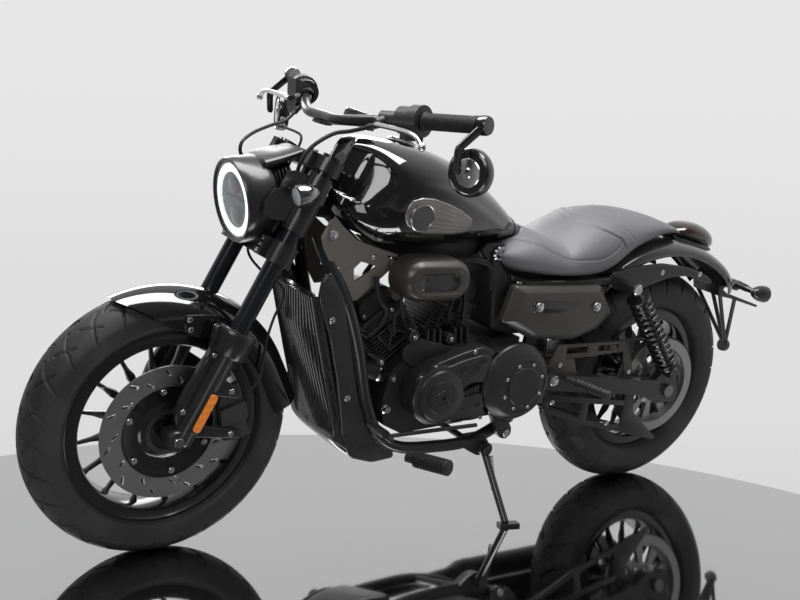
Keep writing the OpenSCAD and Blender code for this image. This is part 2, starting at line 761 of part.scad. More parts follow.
// Point of a cylinder's side view: h out from the crankshaft, u towards the front
function vee_point(lean, h, u) = [crank[0] + h * sin(lean) + u * cos(lean), crank[1] + h * cos(lean) - u * sin(lean)];
front_lean = vee_mid + vee_deg / 2;
rear_lean = vee_mid - vee_deg / 2;
cylinder_h = 96;         // from the crankshaft to a cylinder's foot
module crankcase() {
    parked() color("#161617") {
        difference() {
            union() {
                side_plate(-96, 80) polygon([
                    [905, 330], vee_point(front_lean, cylinder_h, 62),
                    vee_point(vee_mid, cylinder_h / cos(vee_deg / 2), 0), vee_point(rear_lean, cylinder_h, -62),
                    [655, 448], [630, 476], [500, 470], [500, 300], [560, 264], [840, 250], [892, 276]
                ]);
                side_plate(79, 96) polygon([
                    [905, 330], vee_point(front_lean, cylinder_h, 62),
                    vee_point(vee_mid, cylinder_h / cos(vee_deg / 2), 0), vee_point(rear_lean, cylinder_h, -62),
                    [656, 448], [656, 262], [840, 250], [892, 276]
                ]);
            }
            across(pulley_cover_at[0], pulley_cover_at[1], 80, 180, 100.5);
        }
        // lug between the pivot plates
        side_plate(-65.7, 65.7) polygon([[505, 466], [470, 440], [464, 330], [505, 296]]);
        // output shaft and its sprocket
        across(pulley_cover_at[0], pulley_cover_at[1], 70, 84, 30);
        across(pulley_cover_at[0], pulley_cover_at[1], 83, 112, 45.6);
        // starter motor in front
        bar([880, 60, 388], [972, 60, 420], 26);
    }
}

module left_engine_cover() {
    parked() color("#202021") difference() {
        union() {
            across(crank[0] - 2, crank[1] - 10, 96, engine_half_w - 14, 76);
            across(crank[0] - 2, crank[1] - 10, 96, engine_half_w - 4, 62);
            across(crank[0] - 2, crank[1] - 10, 96, engine_half_w, 40);
            side_plate(96, engine_half_w - 24) polygon([
                [856, 372], [846, 412], [806, 436], [720, 462], [640, 478], [604, 466], [604, 296], [650, 284], [800, 286], [846, 320]
            ]);
            side_plate(96, engine_half_w - 12) polygon([[790, 428], [720, 448], [640, 462], [620, 448], [620, 372], [740, 352]]);
        }
        across(pulley_cover_at[0], pulley_cover_at[1], 80, 180, 100.5);
    }
}

pulley_cover_at = [553, 378];
module pulley_cover() {
    parked() color("#242425") {
        rotate([90, 0, 0]) translate([pulley_cover_at[0], pulley_cover_at[1], 0]) rotate_extrude($fn = 96) polygon([
            [0, -134], [100, -134], [100, -152], [94, -engine_half_w + 2], [78, -engine_half_w], [62, -engine_half_w], [62, -engine_half_w - 4], [0, -engine_half_w - 4]
        ]);
        // wall round the front of the sprocket, on the crankcase
        difference() {
            across(pulley_cover_at[0], pulley_cover_at[1], 80.2, 135, 100);
            across(pulley_cover_at[0], pulley_cover_at[1], 78, 134, 90);
            translate([pulley_cover_at[0] - 120, 70, 200]) cube([130, 80, 400]);
        }
        // lug below the cover
        side_plate(118, 140) polygon([[572, 300], [600, 292], [566, 226], [544, 220], [528, 232], [530, 252]]);
    }
}

module clutch_cover() {
    parked() color("#202021") {
        across(690, 372, -engine_half_w, -96.2, 90);
        across(810, 366, -engine_half_w + 24, -96.2, 62);
    }
}

// Cylinder: z out along it, from the crankshaft
module at_cylinder(lean) {
    parked() translate([crank[0], 0, crank[1]]) rotate([0, lean, 0]) children();
}

module cylinder_block() {
    translate([-52, -60, cylinder_h + 0.2]) cube([104, 120, 90]);
    for (k = [0:4]) translate([-60, -68, cylinder_h + 18 + 14 * k]) cube([120, 136, 5]);
    // head
    translate([-60, -66, cylinder_h + 86]) cube([120, 132, 42]);
    side_plate(-60, 60) polygon([[-50, cylinder_h + 127], [50, cylinder_h + 127], [50, cylinder_h + 160], [30, cylinder_h + 180], [-30, cylinder_h + 180], [-50, cylinder_h + 160]]);
    // rib on each side
    both_sides() side_plate(59, 72) polygon([[-26, cylinder_h + 30], [26, cylinder_h + 30], [38, cylinder_h + 100], [30, cylinder_h + 124], [-30, cylinder_h + 124], [-38, cylinder_h + 100]]);
}

module cylinders() {
    color("#1a1a1b") {
        at_cylinder(front_lean) cylinder_block();
        at_cylinder(rear_lean) cylinder_block();
    }
}

air_at = [838, 645];
module air_cleaner() {
    parked() color("#2a2928") {
        for (s = [[90, 150, 50, 44], [149, 168, 44, 48]])
            side_plate(s[0], s[1]) {
                for (x = [-1, 1]) translate([air_at[0] + x * s[3], air_at[1]]) circle(r = s[2]);
                translate([air_at[0] - s[3], air_at[1] - s[2]]) square([2 * s[3], 2 * s[2]]);
            }
        // duct down between the cylinders
        side_plate(28, 91) polygon([[800, 604], [826, 604], [834, 668], [792, 668]]);
        // feet on the front head and on the frame's plate
        across(900, 596, 60.3, 91, 13);
        across(918, 668, 80.3, 91, 10);
    }
}

// Room for a cylinder with its fins, g bigger all round
module cylinder_room(lean, g) {
    at_cylinder(lean) translate([-60 - g, -72 - g, cylinder_h - g]) cube([120 + 2 * g, 144 + 2 * g, 184 + 2 * g]);
}

module exhaust_headers() {
    color("#1c1c1d") difference() {
        parked() {
            sweep([
                [946, -40, 500], [974, -54, 470], [972, -76, 442], [944, -110, 420], [926, -148, 386], [902, -160, 332], [846, -164, 276], [760, -166, 254], [640, -172, 246], [475.9, -190, 240]
            ], 19, n = 4, sides = 12);
            sweep([[656, -40, 542], [634, -78, 532], [626, -118, 512], [606, -154, 478], [584, -174, 430], [556, -186, 372], [512, -191, 328], [478, -192, 314], [440.6, -192, 312]], 19, n = 4, sides = 12);
        }
        cylinder_room(front_lean, 0.3);
        cylinder_room(rear_lean, 0.3);
    }
}

module mufflers() {
    parked() color("#1d1d1e") {
        muffler([474, -190, 240], [-60, -196, 244]);
        muffler([440, -192, 312], [-10, -196, 316]);
    }
}

module muffler(a, b) {
    h = norm(b - a);
    along(a, b) rotate_extrude() polygon([[0, 0.4], [20, 0.4], [34, 40], [35, h - 30], [29, h], [22, h], [22, h - 60], [0, h - 60]]);
}

// Tank, seat and covers

// The tank's rings, g bigger all round
function tank_rings(g = 0) = [for (s = [
    [1080, 0.48, 806, 900, 2.4], [1066, 0.64, 772, 922, 2.6], [1030, 0.83, 736, 938, 2.7], [970, 0.97, 706, 944, 2.6],
    [900, 1.00, 698, 937, 2.5], [820, 0.97, 698, 921, 2.4], [740, 0.87, 700, 893, 2.3], [660, 0.72, 704, 850, 2.2],
    [600, 0.58, 708, 808, 2.2], [560, 0.46, 712, 774, 2.2], [532, 0.34, 716, 752, 2.2], [516, 0.22, 722, 742, 2]
]) section(s[0], s[1] * tank_half_w + g, s[2] - g, s[3] + g, s[4])];
module fuel_tank() {
    parked() color("#0b0b0c") difference() {
        loft(tank_rings());
        // tunnel over the spine and the head tube
        side_plate(-spine_r - 4, spine_r + 4) polygon([[1100, 600], [1100, 799], [1060, 807], [1000, 796], [900, 774], [760, 748], [600, 716], [480, 692], [480, 600]]);
        // room for the fork at full lock
        both_sides() for (a = [steer_lock + 1, steer_lock - 9])
            fork_sweep(a) {
                front_leg(560, 634, 33);
                front_leg(630, 760, 37);
                translate([-fork_offset - 1.5, 0, 636]) cube([120, fork_y + 20, 124]);
            }
        bar(up_head(600), up_head(760), 44);
        bar(up_head(520), up_head(641), 27.4);
    }
}

// Children on the fork, with the steering turned by a, in the upright machine's axes
module fork_sweep(a) {
    translate([wheelbase, 0, front_axle_z]) rotate([0, -rake_deg, 0])
        translate([-fork_offset, 0, 0]) rotate([0, 0, a]) translate([fork_offset, 0, 0]) children();
}

module fuel_cap() {
    parked() color("#2c2c2d") translate([884, 0, 934.6]) rotate([0, -9, 0]) cylinder(h = 11, r = 32);
}

module seat() {
    parked() color("#4a4a4d") difference() {
        loft([for (s = [
            [622, 0.66, 672, 690, 702], [596, 0.84, 655, 682, 722], [555, 0.94, 644, 676, 738], [508, 0.98, 639, 668, 745], [487, 0.99, 637, 664, 741],
            [452, 1.00, 635, 660, 731], [416, 1.00, 633, 658, 721], [386, 1.00, 632, 660, 738], [347, 1.00, 631, 666, 763], [292, 0.97, 632, 684, 785],
            [240, 0.90, 648, 704, 791], [170, 0.79, 692, 728, 792], [80, 0.68, 723, 748, 779], [20, 0.58, 732, 750, 764], [-30, 0.40, 730, 738, 748], [-52, 0.22, 728, 733, 738]
        ]) dome(s[0], s[1] * seat_half_w, s[2], s[3], s[4])]);
        loft(tank_rings(1));
        both_sides() rear_rail(11.5);
        side_plate(-23.5, 23.5) polygon([[640, 640], [640, 726], [594, 717], [594, 640]]);
    }
}

module side_covers() {
    parked() color("#3a3733") both_sides() hull() {
        side_plate(118, 136) polygon([[590, 622], [306, 618], [250, 540], [290, 500], [373, 474], [516, 484], [614, 532]]);
        side_plate(136, 150) polygon([[560, 606], [322, 602], [285, 545], [385, 498], [505, 502], [580, 540]]);
    }
}

module rear_fender() {
    fender_r = 404;
    outer = [
        [fender_r - 34, rear_fender_half_w], [fender_r - 24, rear_fender_half_w], [fender_r - 12, rear_fender_half_w - 8],
        [fender_r - 4, rear_fender_half_w - 24], [fender_r, rear_fender_half_w - 46], [fender_r, 0]
    ];
    sheet = concat(outer, [for (k = [len(outer) - 2:-1:0]) [outer[k][0], -outer[k][1]]]);
    at_rear_axle() color("#1d1d1e") rotate([90, 0, 0]) rotate([0, 0, 45]) rotate_extrude(angle = 93, $fn = 96) difference() {
        polygon(sheet);
        polygon([for (p = sheet) [p[0] - 4, p[1] * 0.96]]);
    }
}

module fender_struts() {
    parked() color("#1c1c1d") both_sides() side_plate(rear_fender_half_w + 1, rear_fender_half_w + 14) polygon([
        [255, 606], [255, 640], [220, 646], [155, 656], [63, 664], [-38, 651], [-100, 632], [-137, 617], [-142, 600], [-96, 612], [-45, 626], [20, 626], [68, 614], [139, 594], [205, 590]
    ]);
}

module tail_light() {
    parked() color("#7a1010") loft([
        section(-50, 16, 717, 726, 2), section(-64, 34, 714, 742, 2.2), section(-90, 46, 708, 752, 2.2), section(-125, 50, 698, 754, 2.2),
        section(-160, 48, 687, 748, 2.2), section(-190, 40, 680, 736, 2.2), section(-212, 28, 680, 716, 2), section(-220, 14, 688, 704, 2)
    ]);
}

module rear_indicators() {
    parked() color("#2b2c2e") {
        // block across the end of the fender
        side_plate(-62, 62) polygon([[-300.7, 582], [-290.5, 572.8], [-318, 562], [-336, 568], [-338, 590], [-312, 592]]);
        both_sides() {
            bar([-316, 62.4, 583], [-320, 116, 577], 9);
            translate([-352, 136, 572]) rotate([0, 8, 180]) bullet(24, 58);
        }
    }
}

module plate_bracket() {
    parked() color("#1a1a1b") {
        side_plate(-50, 50) polygon([
            [-291.5, 583], [-272.4, 603.9], [-250, 580], [-262, 545], [-312, 536], [-440, 504], [-442, 511], [-318, 546], [-292, 553], [-273.6, 564]
        ]);
        both_sides() {
            bar([-270, 44, 550], [-386, 4, 384], 6);
            bar([-340, 44, 536], [-390, 4, 384], 6);
        }
        // reflector
        translate([-390, 0, 372]) rotate([0, 78, 0]) translate([0, 0, -5]) cylinder(h = 12, r = 19);
    }
}

// Rear suspension and drive

pivot_at = [425, 372];
module swingarm() {
    parked() color("#1a1a1b") {
        difference() {
            union() {
                both_sides() side_plate(arm_y[0], arm_y[1]) polygon([
                    [452, 386], [440, 396], [410, 394], [404, 384], [250, 366], [110, 348], [46, 344], [30, 360], [26, 378], [0, 378], [-4, 360], [-30, 352], [-48, 300], [-44, 276],
                    [30, 274], [86, 302], [239, 322], [416, 342], [446, 350]
                ]);
                across(pivot_at[0], pivot_at[1], -arm_y[0] - 1, arm_y[0] + 1, 22);
                across(345, 352, -arm_y[0] - 1, arm_y[0] + 1, 13);
            }
            across(0, rear_axle_z, -200, 200, axle_r + running_gap);
        }
    }
}

arm_y = [123, 149];      // inner and outer faces of each arm
module rear_axle() {
    parked() color("#3a3a3c") {
        across(0, rear_axle_z, -arm_y[1] - 6, arm_y[1] + 6, axle_r);
        // spacers, and a nut at each end
        across(0, rear_axle_z, 112.5, arm_y[0] - 0.2, 15);
        across(0, rear_axle_z, -arm_y[0] + 0.2, -83, 15);
        both_sides() across(0, rear_axle_z, arm_y[1] + 0.2, arm_y[1] + 12, 17);
    }
}

shock_top = [213, 613];
shock_bottom = [13, 368];
shock_y = 162;
module shocks() {
    a = [shock_top[0], shock_y, shock_top[1]];
    b = [shock_bottom[0], shock_y, shock_bottom[1]];
    parked() color("#161617") both_sides() {
        across(shock_top[0], shock_top[1], rear_fender_half_w + 14.3, shock_y + 14, 15);
        across(shock_bottom[0], shock_bottom[1], arm_y[1] + 0.3, shock_y + 14, 14);
        bar(a, b, 11);
        along(b, a) {
            translate([0, 0, 34]) cylinder(h = 8, r = 25);
            translate([0, 0, norm(a - b) - 42]) cylinder(h = 8, r = 25);
            translate([0, 0, norm(a - b) - 90]) cylinder(h = 60, r = 16.2);
        }
    }
}

module shock_springs() {
    a = [shock_top[0], shock_y, shock_top[1]];
    b = [shock_bottom[0], shock_y, shock_bottom[1]];
    parked() color("#1f1f20") both_sides() along(b, a) translate([0, 0, 42.3]) coil(21, 3.5, norm(a - b) - 84.6, 10);
}

module belt_guards() {
    parked() color("#55524d") difference() {
        both_guards();
        across(pivot_at[0], pivot_at[1], 100, 140, 22.4);
        across(345, 352, 100, 140, 13.4);
    }
}

module both_guards() {
    difference() {
        side_plate(arm_y[0] - 4.2, arm_y[0] - 0.2) polygon([[404, 456], [148, 455], [118, 372], [110, 352], [146, 350], [166, 425], [340, 416], [318, 366], [440, 370]]);
        side_plate(110, 130) translate([296, 430]) square([76, 16]);
        side_plate(110, 130) translate([186, 432]) square([76, 16]);
    }
    side_plate(arm_y[0] - 4.2, arm_y[0] - 0.2) polygon([[414, 312], [414, 345], [380, 345], [171, 316], [93, 306], [83, 244], [-23, 158], [-10, 152], [159, 199], [275, 225], [420, 280]]);
}

module drive_belt() {
    parked() color("#111112") difference() {
        side_plate(pulley_y[0] + 2, pulley_y[1] - 2) hull() {
            translate([0, rear_axle_z]) circle(r = rear_pulley_r + 5);
            translate(pulley_cover_at) circle(r = 50);
        }
        side_plate(pulley_y[0], pulley_y[1]) hull() {
            translate([0, rear_axle_z]) circle(r = rear_pulley_r + 1);
            translate(pulley_cover_at) circle(r = 46);
        }
    }
}

module rear_caliper() {
    parked() translate([0, 0, rear_axle_z]) color("#1a1a1b") rotate([0, -25, 0]) {
        difference() {
            side_plate(-104, -56) polygon([[84, -34], [136, -30], [140, 30], [84, 34]]);
            across(0, 0, -88, -72.5, rear_disc_r + 7);
        }
        // plate on the arm's inner face
        side_plate(-arm_y[0] + 0.2, -103) polygon([[60, -40], [150, -46], [150, 20], [60, 20]]);
    }
}

// Feet

module foot_pegs() {
    parked() color("#1b1b1c") both_sides() {
        // rider's: hanger on the cradle, then the peg
        difference() {
            side_plate(cradle_y + frame_tube_r - 6, 172) polygon([[900, 262], [880, 208], [846, 196], [836, 210], [852, 240], [880, 266]]);
            cradle_tube(frame_tube_r + 0.3);
        }
        side_plate(171, 198) polygon([[900, 266], [896, 206], [866, 200], [852, 226], [868, 262]]);
        bar([884, 197, 236], [842, 306, 250], 19);
        // passenger's: hanger outside the arm's pivot
        side_plate(arm_y[1] + 0.3, arm_y[1] + 9) polygon([[438, 388], [438, 358], [410, 352], [376, 360], [370, 392], [400, 396]]);
        bar([386, arm_y[1] + 8, 376], [330, 262, 364], 12);
    }
}

module foot_levers() {
    parked() color("#1b1b1c") {
        // gear pedal ahead of the left peg, and its rod
        bar([903.4, 152, 262], [992, 190, 322], 7);
        bar([990, 184, 324], [998, 262, 330], 10);
        bar([914, 154, 274], [660, 156, 277], 5);
        // brake pedal ahead of the right peg
        bar([888, -205.4, 262], [1000, -205.4, 300], 7);
        bar([998, -200, 302], [1004, -264, 306], 12);
    }
}

// Side stand

stand_pivot = [604, 200];    // x and z of its pivot
stand_foot = [612, 268];     // x and y of its foot on the ground
module side_stand() {
    // foot on the ground, drawn on the parked machine
    foot_up = [stand_foot[0], stand_foot[1] * cos(lean_deg), stand_foot[1] * sin(lean_deg)];
    color("#1a1a1b") {
        parked() difference() {
            union() {
                across(stand_pivot[0], stand_pivot[1], stand_pivot_y, stand_pivot_y + 16, 18);
                bar([stand_pivot[0] - 1, stand_pivot_y + 10, stand_pivot[1] - 12], foot_up + [-4, -3, 7], 9);
            }
            across(stand_pivot[0], stand_pivot[1], stand_pivot_y - 4, stand_pivot_y + 30, 8 + running_gap);
            across(stand_pivot[0], stand_pivot[1], stand_pivot_y - 30, stand_pivot_y - 0.01, 30);
            across(stand_pivot[0], stand_pivot[1], stand_pivot_y + 16.01, stand_pivot_y + 40, 14);
        }
        translate([stand_foot[0] - origin_x - 4, stand_foot[1] - origin_y, 0]) rotate([0, 0, -18]) translate([-32, -14, 0]) cube([50, 28, 7]);
    }
}

frame_backbone();
frame_cradle();
frame_rear();
frame_side_plates();
radiator();
radiator_shroud();
crankcase();
left_engine_cover();
pulley_cover();
clutch_cover();
cylinders();
air_cleaner();
exhaust_headers();
mufflers();
fuel_tank();
fuel_cap();
seat();
side_covers();
rear_fender();
fender_struts();
tail_light();
plate_bracket();
rear_indicators();
swingarm();
shocks();
shock_springs();
belt_guards();
drive_belt();
rear_caliper();
foot_pegs();
foot_levers();
rear_axle();
triple_clamps();
fork_tubes();
fork_covers();
fork_sliders();
fork_reflectors();
front_fender();
front_caliper();
headlight_housing();
headlight_lens();
headlight_bracket();
front_indicators();
handlebar();
instrument();
grips();
controls();
levers();
mirrors();
cables();
front_axle();
front_tyre();
front_rim();
front_disc();
rear_tyre();
rear_rim();
rear_pulley();
rear_disc();
side_stand();
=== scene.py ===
import math

import bmesh
import bpy
import numpy as np
from mathutils import Matrix, Vector


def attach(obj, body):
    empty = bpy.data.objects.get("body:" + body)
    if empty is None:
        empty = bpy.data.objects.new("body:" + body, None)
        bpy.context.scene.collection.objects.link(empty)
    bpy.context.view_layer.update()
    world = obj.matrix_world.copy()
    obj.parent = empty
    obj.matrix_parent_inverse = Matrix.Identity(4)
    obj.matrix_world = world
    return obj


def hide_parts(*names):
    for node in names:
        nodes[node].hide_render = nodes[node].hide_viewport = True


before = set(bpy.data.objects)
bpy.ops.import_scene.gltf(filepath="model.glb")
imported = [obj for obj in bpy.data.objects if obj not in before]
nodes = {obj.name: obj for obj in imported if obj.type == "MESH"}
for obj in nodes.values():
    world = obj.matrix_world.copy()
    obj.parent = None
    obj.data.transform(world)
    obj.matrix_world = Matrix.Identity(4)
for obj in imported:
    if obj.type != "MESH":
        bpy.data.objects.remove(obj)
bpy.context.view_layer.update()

# Camera: at the machine's left front, level with the tank, looking a little down.
view = bpy.data.cameras.new("view")
view.sensor_width = 36
view.lens = 50.5
camera = bpy.data.objects.new("camera", view)
bpy.context.scene.collection.objects.link(camera)
yaw, pitch, roll = (math.radians(a) for a in (-123.908, -5.581, 1.5))
ahead = Vector((math.cos(yaw) * math.cos(pitch), math.sin(yaw) * math.cos(pitch), math.sin(pitch)))
beside = ahead.cross(Vector((0, 0, 1))).normalized()
above = beside.cross(ahead)
right = beside * math.cos(roll) + above * math.sin(roll)
upward = above * math.cos(roll) - beside * math.sin(roll)
camera.matrix_world = (
    Matrix.Translation((1.68799, 2.15959, 0.80790)) @ Matrix((right, upward, -ahead)).transposed().to_4x4()
)
bpy.context.scene.camera = camera


# Studio: a smooth grey floor that mirrors the machine softly, a pale wall all round and
# soft boxes above, behind the camera and at both ends.
class Wire:
    """A socket of a material's nodes. A sum written on wires adds Math nodes."""

    def __init__(self, tree, socket=None):
        self.tree = tree
        self.socket = socket

    def node(self, kind, settings=None, inputs=None, out=0):
        """A node of this kind: settings first, then values or wires into its sockets. Gives its output."""
        made = self.tree.nodes.new(kind)
        for key, value in (settings or {}).items():
            if key == "stops":
                ramp = made.color_ramp
                while len(ramp.elements) < len(value):
                    ramp.elements.new(0.5)
                for stop, (place, colour) in zip(ramp.elements, value):
                    stop.position = place
                    stop.color = (*colour, 1)
            else:
                setattr(made, key, value)
        for key, value in (inputs or {}).items():
            if isinstance(value, Wire):
                self.tree.links.new(value.socket, made.inputs[key])
            else:
                made.inputs[key].default_value = value
        return Wire(self.tree, made.outputs[out])

    def math(self, operation, a, b=0.0):
        return self.node("ShaderNodeMath", {"operation": operation}, {0: a, 1: b})

    def __add__(self, other):
        return self.math("ADD", self, other)

    def __radd__(self, other):
        return self.math("ADD", other, self)

    def __sub__(self, other):
        return self.math("SUBTRACT", self, other)

    def __rsub__(self, other):
        return self.math("SUBTRACT", other, self)

    def __mul__(self, other):
        return self.math("MULTIPLY", self, other)

    def __rmul__(self, other):
        return self.math("MULTIPLY", other, self)

    def over(self, low, high):
        """0 below low and 1 above high, smooth between."""
        return self.node(
            "ShaderNodeMapRange", {"interpolation_type": "SMOOTHSTEP"},
            {"Value": self, "From Min": low, "From Max": high}
        )

    def place(self):
        """The point's place on its object."""
        return self.node("ShaderNodeTexCoord", out="Object")

    def noise(self, place, scale, detail=2.0):
        return self.node("ShaderNodeTexNoise", {}, {"Vector": place, "Scale": scale, "Detail": detail})

    def between(self, low, high):
        """A colour from low, where this wire is 0, to high, where it is 1."""
        return self.node("ShaderNodeMix", {"data_type": "RGBA"}, {"Factor": self, 6: low, 7: high}, 2)

    def bump(self, strength, distance):
        """A normal from this wire as a height."""
        return self.node("ShaderNodeBump", {}, {"Strength": strength, "Distance": distance, "Height": self})


def new_material(name, **constants):
    """A material with its Principled sockets set. Gives the material, a first wire and the shader."""
    made = bpy.data.materials.new(name)
    made.use_nodes = True
    shader = made.node_tree.nodes["Principled BSDF"]
    for key, value in constants.items():
        shader.inputs[key.replace("_", " ")].default_value = value
    return made, Wire(made.node_tree), shader


def feed(wire, shader, **links):
    """Leads wires into the shader's sockets, named with underscores."""
    for key, value in links.items():
        wire.tree.links.new(value.socket, shader.inputs[key.replace("_", " ")])


def mesh_object(name, points, faces):
    """An object at the origin from an array of points in metres and rows of point numbers."""
    mesh = bpy.data.meshes.new(name)
    mesh.from_pydata(np.asarray(points).tolist(), [], faces)
    made = bpy.data.objects.new(name, mesh)
    bpy.context.scene.collection.objects.link(made)
    return made


def disc_points(radius, height, count=160, centre=(0.0, 0.0)):
    """Points on a circle at one height."""
    a = np.arange(count) * 2 * np.pi / count
    return np.stack(
        (centre[0] + radius * np.cos(a), centre[1] + radius * np.sin(a), np.full(count, height)), 1
    )


floor = mesh_object("floor", disc_points(1.56, 0.0, centre=(0.62, 0.37)), [list(range(160))])
floor_finish, w, shader = new_material("polished_floor", Metallic=1.0)
spots = w.noise(w.place(), 1.3, 3.0)
feed(
    w, shader,
    Base_Color=spots.between((0.56, 0.56, 0.565, 1), (0.62, 0.62, 0.625, 1)),
    Roughness=0.03 + spots * 0.03,
)
floor.data.materials.append(floor_finish)

wall = mesh_object(
    "wall",
    np.concatenate(
        [disc_points(r, z) for r, z in ((0.4, -0.006), (6.0, -0.006), (7.0, 0.25), (7.6, 1.2), (7.8, 6.0))]
    ),
    [
        [160 * i + k, 160 * i + (k + 1) % 160, 160 * i + 160 + (k + 1) % 160, 160 * i + 160 + k]
        for i in range(4) for k in range(160)
    ],
)
wall_finish, w, shader = new_material("pale_wall", Roughness=0.9)
height = w.node("ShaderNodeSeparateXYZ", {}, {"Vector": w.place()}, 2).over(-0.1, 1.8)
shade = height.between((0.74, 0.74, 0.74, 1), (0.80, 0.80, 0.80, 1))
place = w.place()
near = (
    w.node("ShaderNodeSeparateXYZ", {}, {"Vector": place}) * 0.558
    + w.node("ShaderNodeSeparateXYZ", {}, {"Vector": place}, 1) * 0.83
).over(-2.5, 4.0)
strength = (
    0.30 + w.node("ShaderNodeLightPath", out="Is Glossy Ray") * 0.55
) * (1.0 - near * 0.88) + w.node("ShaderNodeLightPath", out="Is Camera Ray") * 0.70
seen = w.node("ShaderNodeEmission", {}, {"Color": shade, "Strength": strength})
w.tree.links.new(seen.socket, w.tree.nodes["Material Output"].inputs[0])
wall.data.materials.append(wall_finish)

world = bpy.data.worlds.new("studio")
bpy.context.scene.world = world
world.use_nodes = True
w = Wire(world.node_tree)
place = w.node("ShaderNodeTexCoord", out="Generated")
near = (
    w.node("ShaderNodeSeparateXYZ", {}, {"Vector": place}) * 0.558
    + w.node("ShaderNodeSeparateXYZ", {}, {"Vector": place}, 1) * 0.83
).over(-0.35, 0.5)
strength = (0.22 + w.node("ShaderNodeLightPath", out="Is Glossy Ray") * 0.5) * (1.0 - near * 0.8)
w.tree.links.new(
    w.node("ShaderNodeBackground", {}, {"Color": (0.79, 0.79, 0.79, 1), "Strength": strength}).socket,
    w.tree.nodes["World Output"].inputs[0]
)
bpy.context.scene.view_settings.view_transform = "Standard"

for name, place, aim, size, watts in (
    ("top_box", (0.2, 0.3, 3.1), (0.0, 0.0, 0.4), (3.4, 1.3), 150),
    ("camera_box", (3.2, 2.6, 2.6), (0.2, 0.1, 0.5), (2.2, 1.6), 54),
    ("side_box", (-1.6, 3.4, 2.0), (-0.2, 0.0, 0.5), (2.4, 1.4), 52),
    ("back_box", (-0.6, -3.2, 2.4), (0.0, 0.0, 0.6), (3.0, 1.2), 60),
):
    lamp = bpy.data.lights.new(name, "AREA")
    lamp.shape = "RECTANGLE"
    lamp.size, lamp.size_y = size
    lamp.energy = watts
    box = bpy.data.objects.new(name, lamp)
    box.visible_glossy = name != "side_box"
    bpy.context.scene.collection.objects.link(box)
    box.matrix_world = Matrix.Translation(place) @ (
        Vector(aim) - Vector(place)
    ).to_track_quat("-Z", "Y").to_matrix().to_4x4()


# Tyres: block-tread road rubber on the crown, plain side walls with a rim guard.
# Drawn as one section turned round the axle, with the grooves pressed into the crown.
LEAN = math.radians(10.9)
MIDDLE = (638.5, 177.6, 0.0)
FRONT_AXLE = (1420.0, 0.0, 300.21)
REAR_AXLE = (0.0, 0.0, 311.97)


def parked(points):
    """Points of the upright machine in millimetres, leaned over on the stand, in metres in the row frame."""
    x, y, z = np.moveaxis(np.asarray(points, float), -1, 0)
    leaned = np.stack(
        (x, y * math.cos(LEAN) + z * math.sin(LEAN), z * math.cos(LEAN) - y * math.sin(LEAN)), -1
    )
    return (leaned - MIDDLE) / 1000


def spline(points, steps):
    """A smooth curve through points: a cubic on each span, its slopes half the chord of its neighbours."""
    p = np.asarray(points, float)
    p = np.concatenate((p[:1], p, p[-1:]))
    t = (np.arange(steps) / steps)[None, :, None]
    a, b, c, d = (p[k : len(p) - 3 + k, None, :] for k in range(4))
    curve = 0.5 * (2 * b + (c - a) * t + (2 * a - 5 * b + 4 * c - d) * t**2 + (3 * b - a - 3 * c + d) * t**3)
    return np.concatenate((curve.reshape(-1, p.shape[1]), p[-1:]))


def lattice(points, wraps=(False, False), closed=False):
    """Faces between neighbours of a grid, joined across its edges where it wraps; closed adds end faces."""
    rows, columns = points.shape[:2]
    number = np.arange(rows * columns).reshape(rows, columns)
    i = np.arange(rows if wraps[0] else rows - 1)[:, None]
    j = np.arange(columns if wraps[1] else columns - 1)[None, :]
    corners = ((i, j), (i, (j + 1) % columns), ((i + 1) % rows, (j + 1) % columns), ((i + 1) % rows, j))
    faces = np.stack([number[a, b] for a, b in corners], -1).reshape(-1, 4).tolist()
    if closed:
        faces += [number[0, ::-1].tolist(), number[-1].tolist()]
    return points.reshape(-1, 3), faces


def turned(profile, centre, axis=(0, 1, 0), sides=64, wraps=False, start=(1, 0, 0)):
    """A profile of [radius, height] turned about an axis: centre + height axis + radius (cos u + sin v)."""
    axis = np.asarray(axis, float) / np.linalg.norm(axis)
    u = np.cross(axis, np.cross(np.asarray(start, float), axis))
    if np.linalg.norm(u) < 1e-6:
        u = np.cross(axis, (0.3, 0.2, 0.9))
    u /= np.linalg.norm(u)
    v = np.cross(axis, u)
    a = np.arange(sides) * 2 * np.pi / sides
    ring = np.cos(a)[:, None] * u + np.sin(a)[:, None] * v
    profile = np.asarray(profile, float)
    points = np.asarray(centre, float) + profile[:, None, 1:] * axis + profile[:, None, :1] * ring[None]
    return lattice(points, (wraps, True))


def piece(name, shells, body, material, stands_for=(), crease=38):
    """One object from shells drawn on the upright machine. Doubles are merged and faces turned outwards."""
    counts = np.cumsum([0] + [len(s[0]) for s in shells])
    points = parked(np.concatenate([s[0] for s in shells]))
    faces = [[k + n for k in f] for s, n in zip(shells, counts) for f in s[1]]
    made = mesh_object(name, points, faces)
    work = bmesh.new()
    work.from_mesh(made.data)
    bmesh.ops.remove_doubles(work, verts=work.verts, dist=2e-6)
    bmesh.ops.dissolve_degenerate(work, edges=work.edges, dist=1e-6)
    bmesh.ops.recalc_face_normals(work, faces=work.faces)
    work.to_mesh(made.data)
    work.free()
    made.data.polygons.foreach_set("use_smooth", np.ones(len(made.data.polygons), bool))
    made.data.set_sharp_from_angle(angle=math.radians(crease))
    for one in material if isinstance(material, (list, tuple)) else [material]:
        made.data.materials.append(one)
    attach(made, body)
    if stands_for:
        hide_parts(*stands_for)
    return made


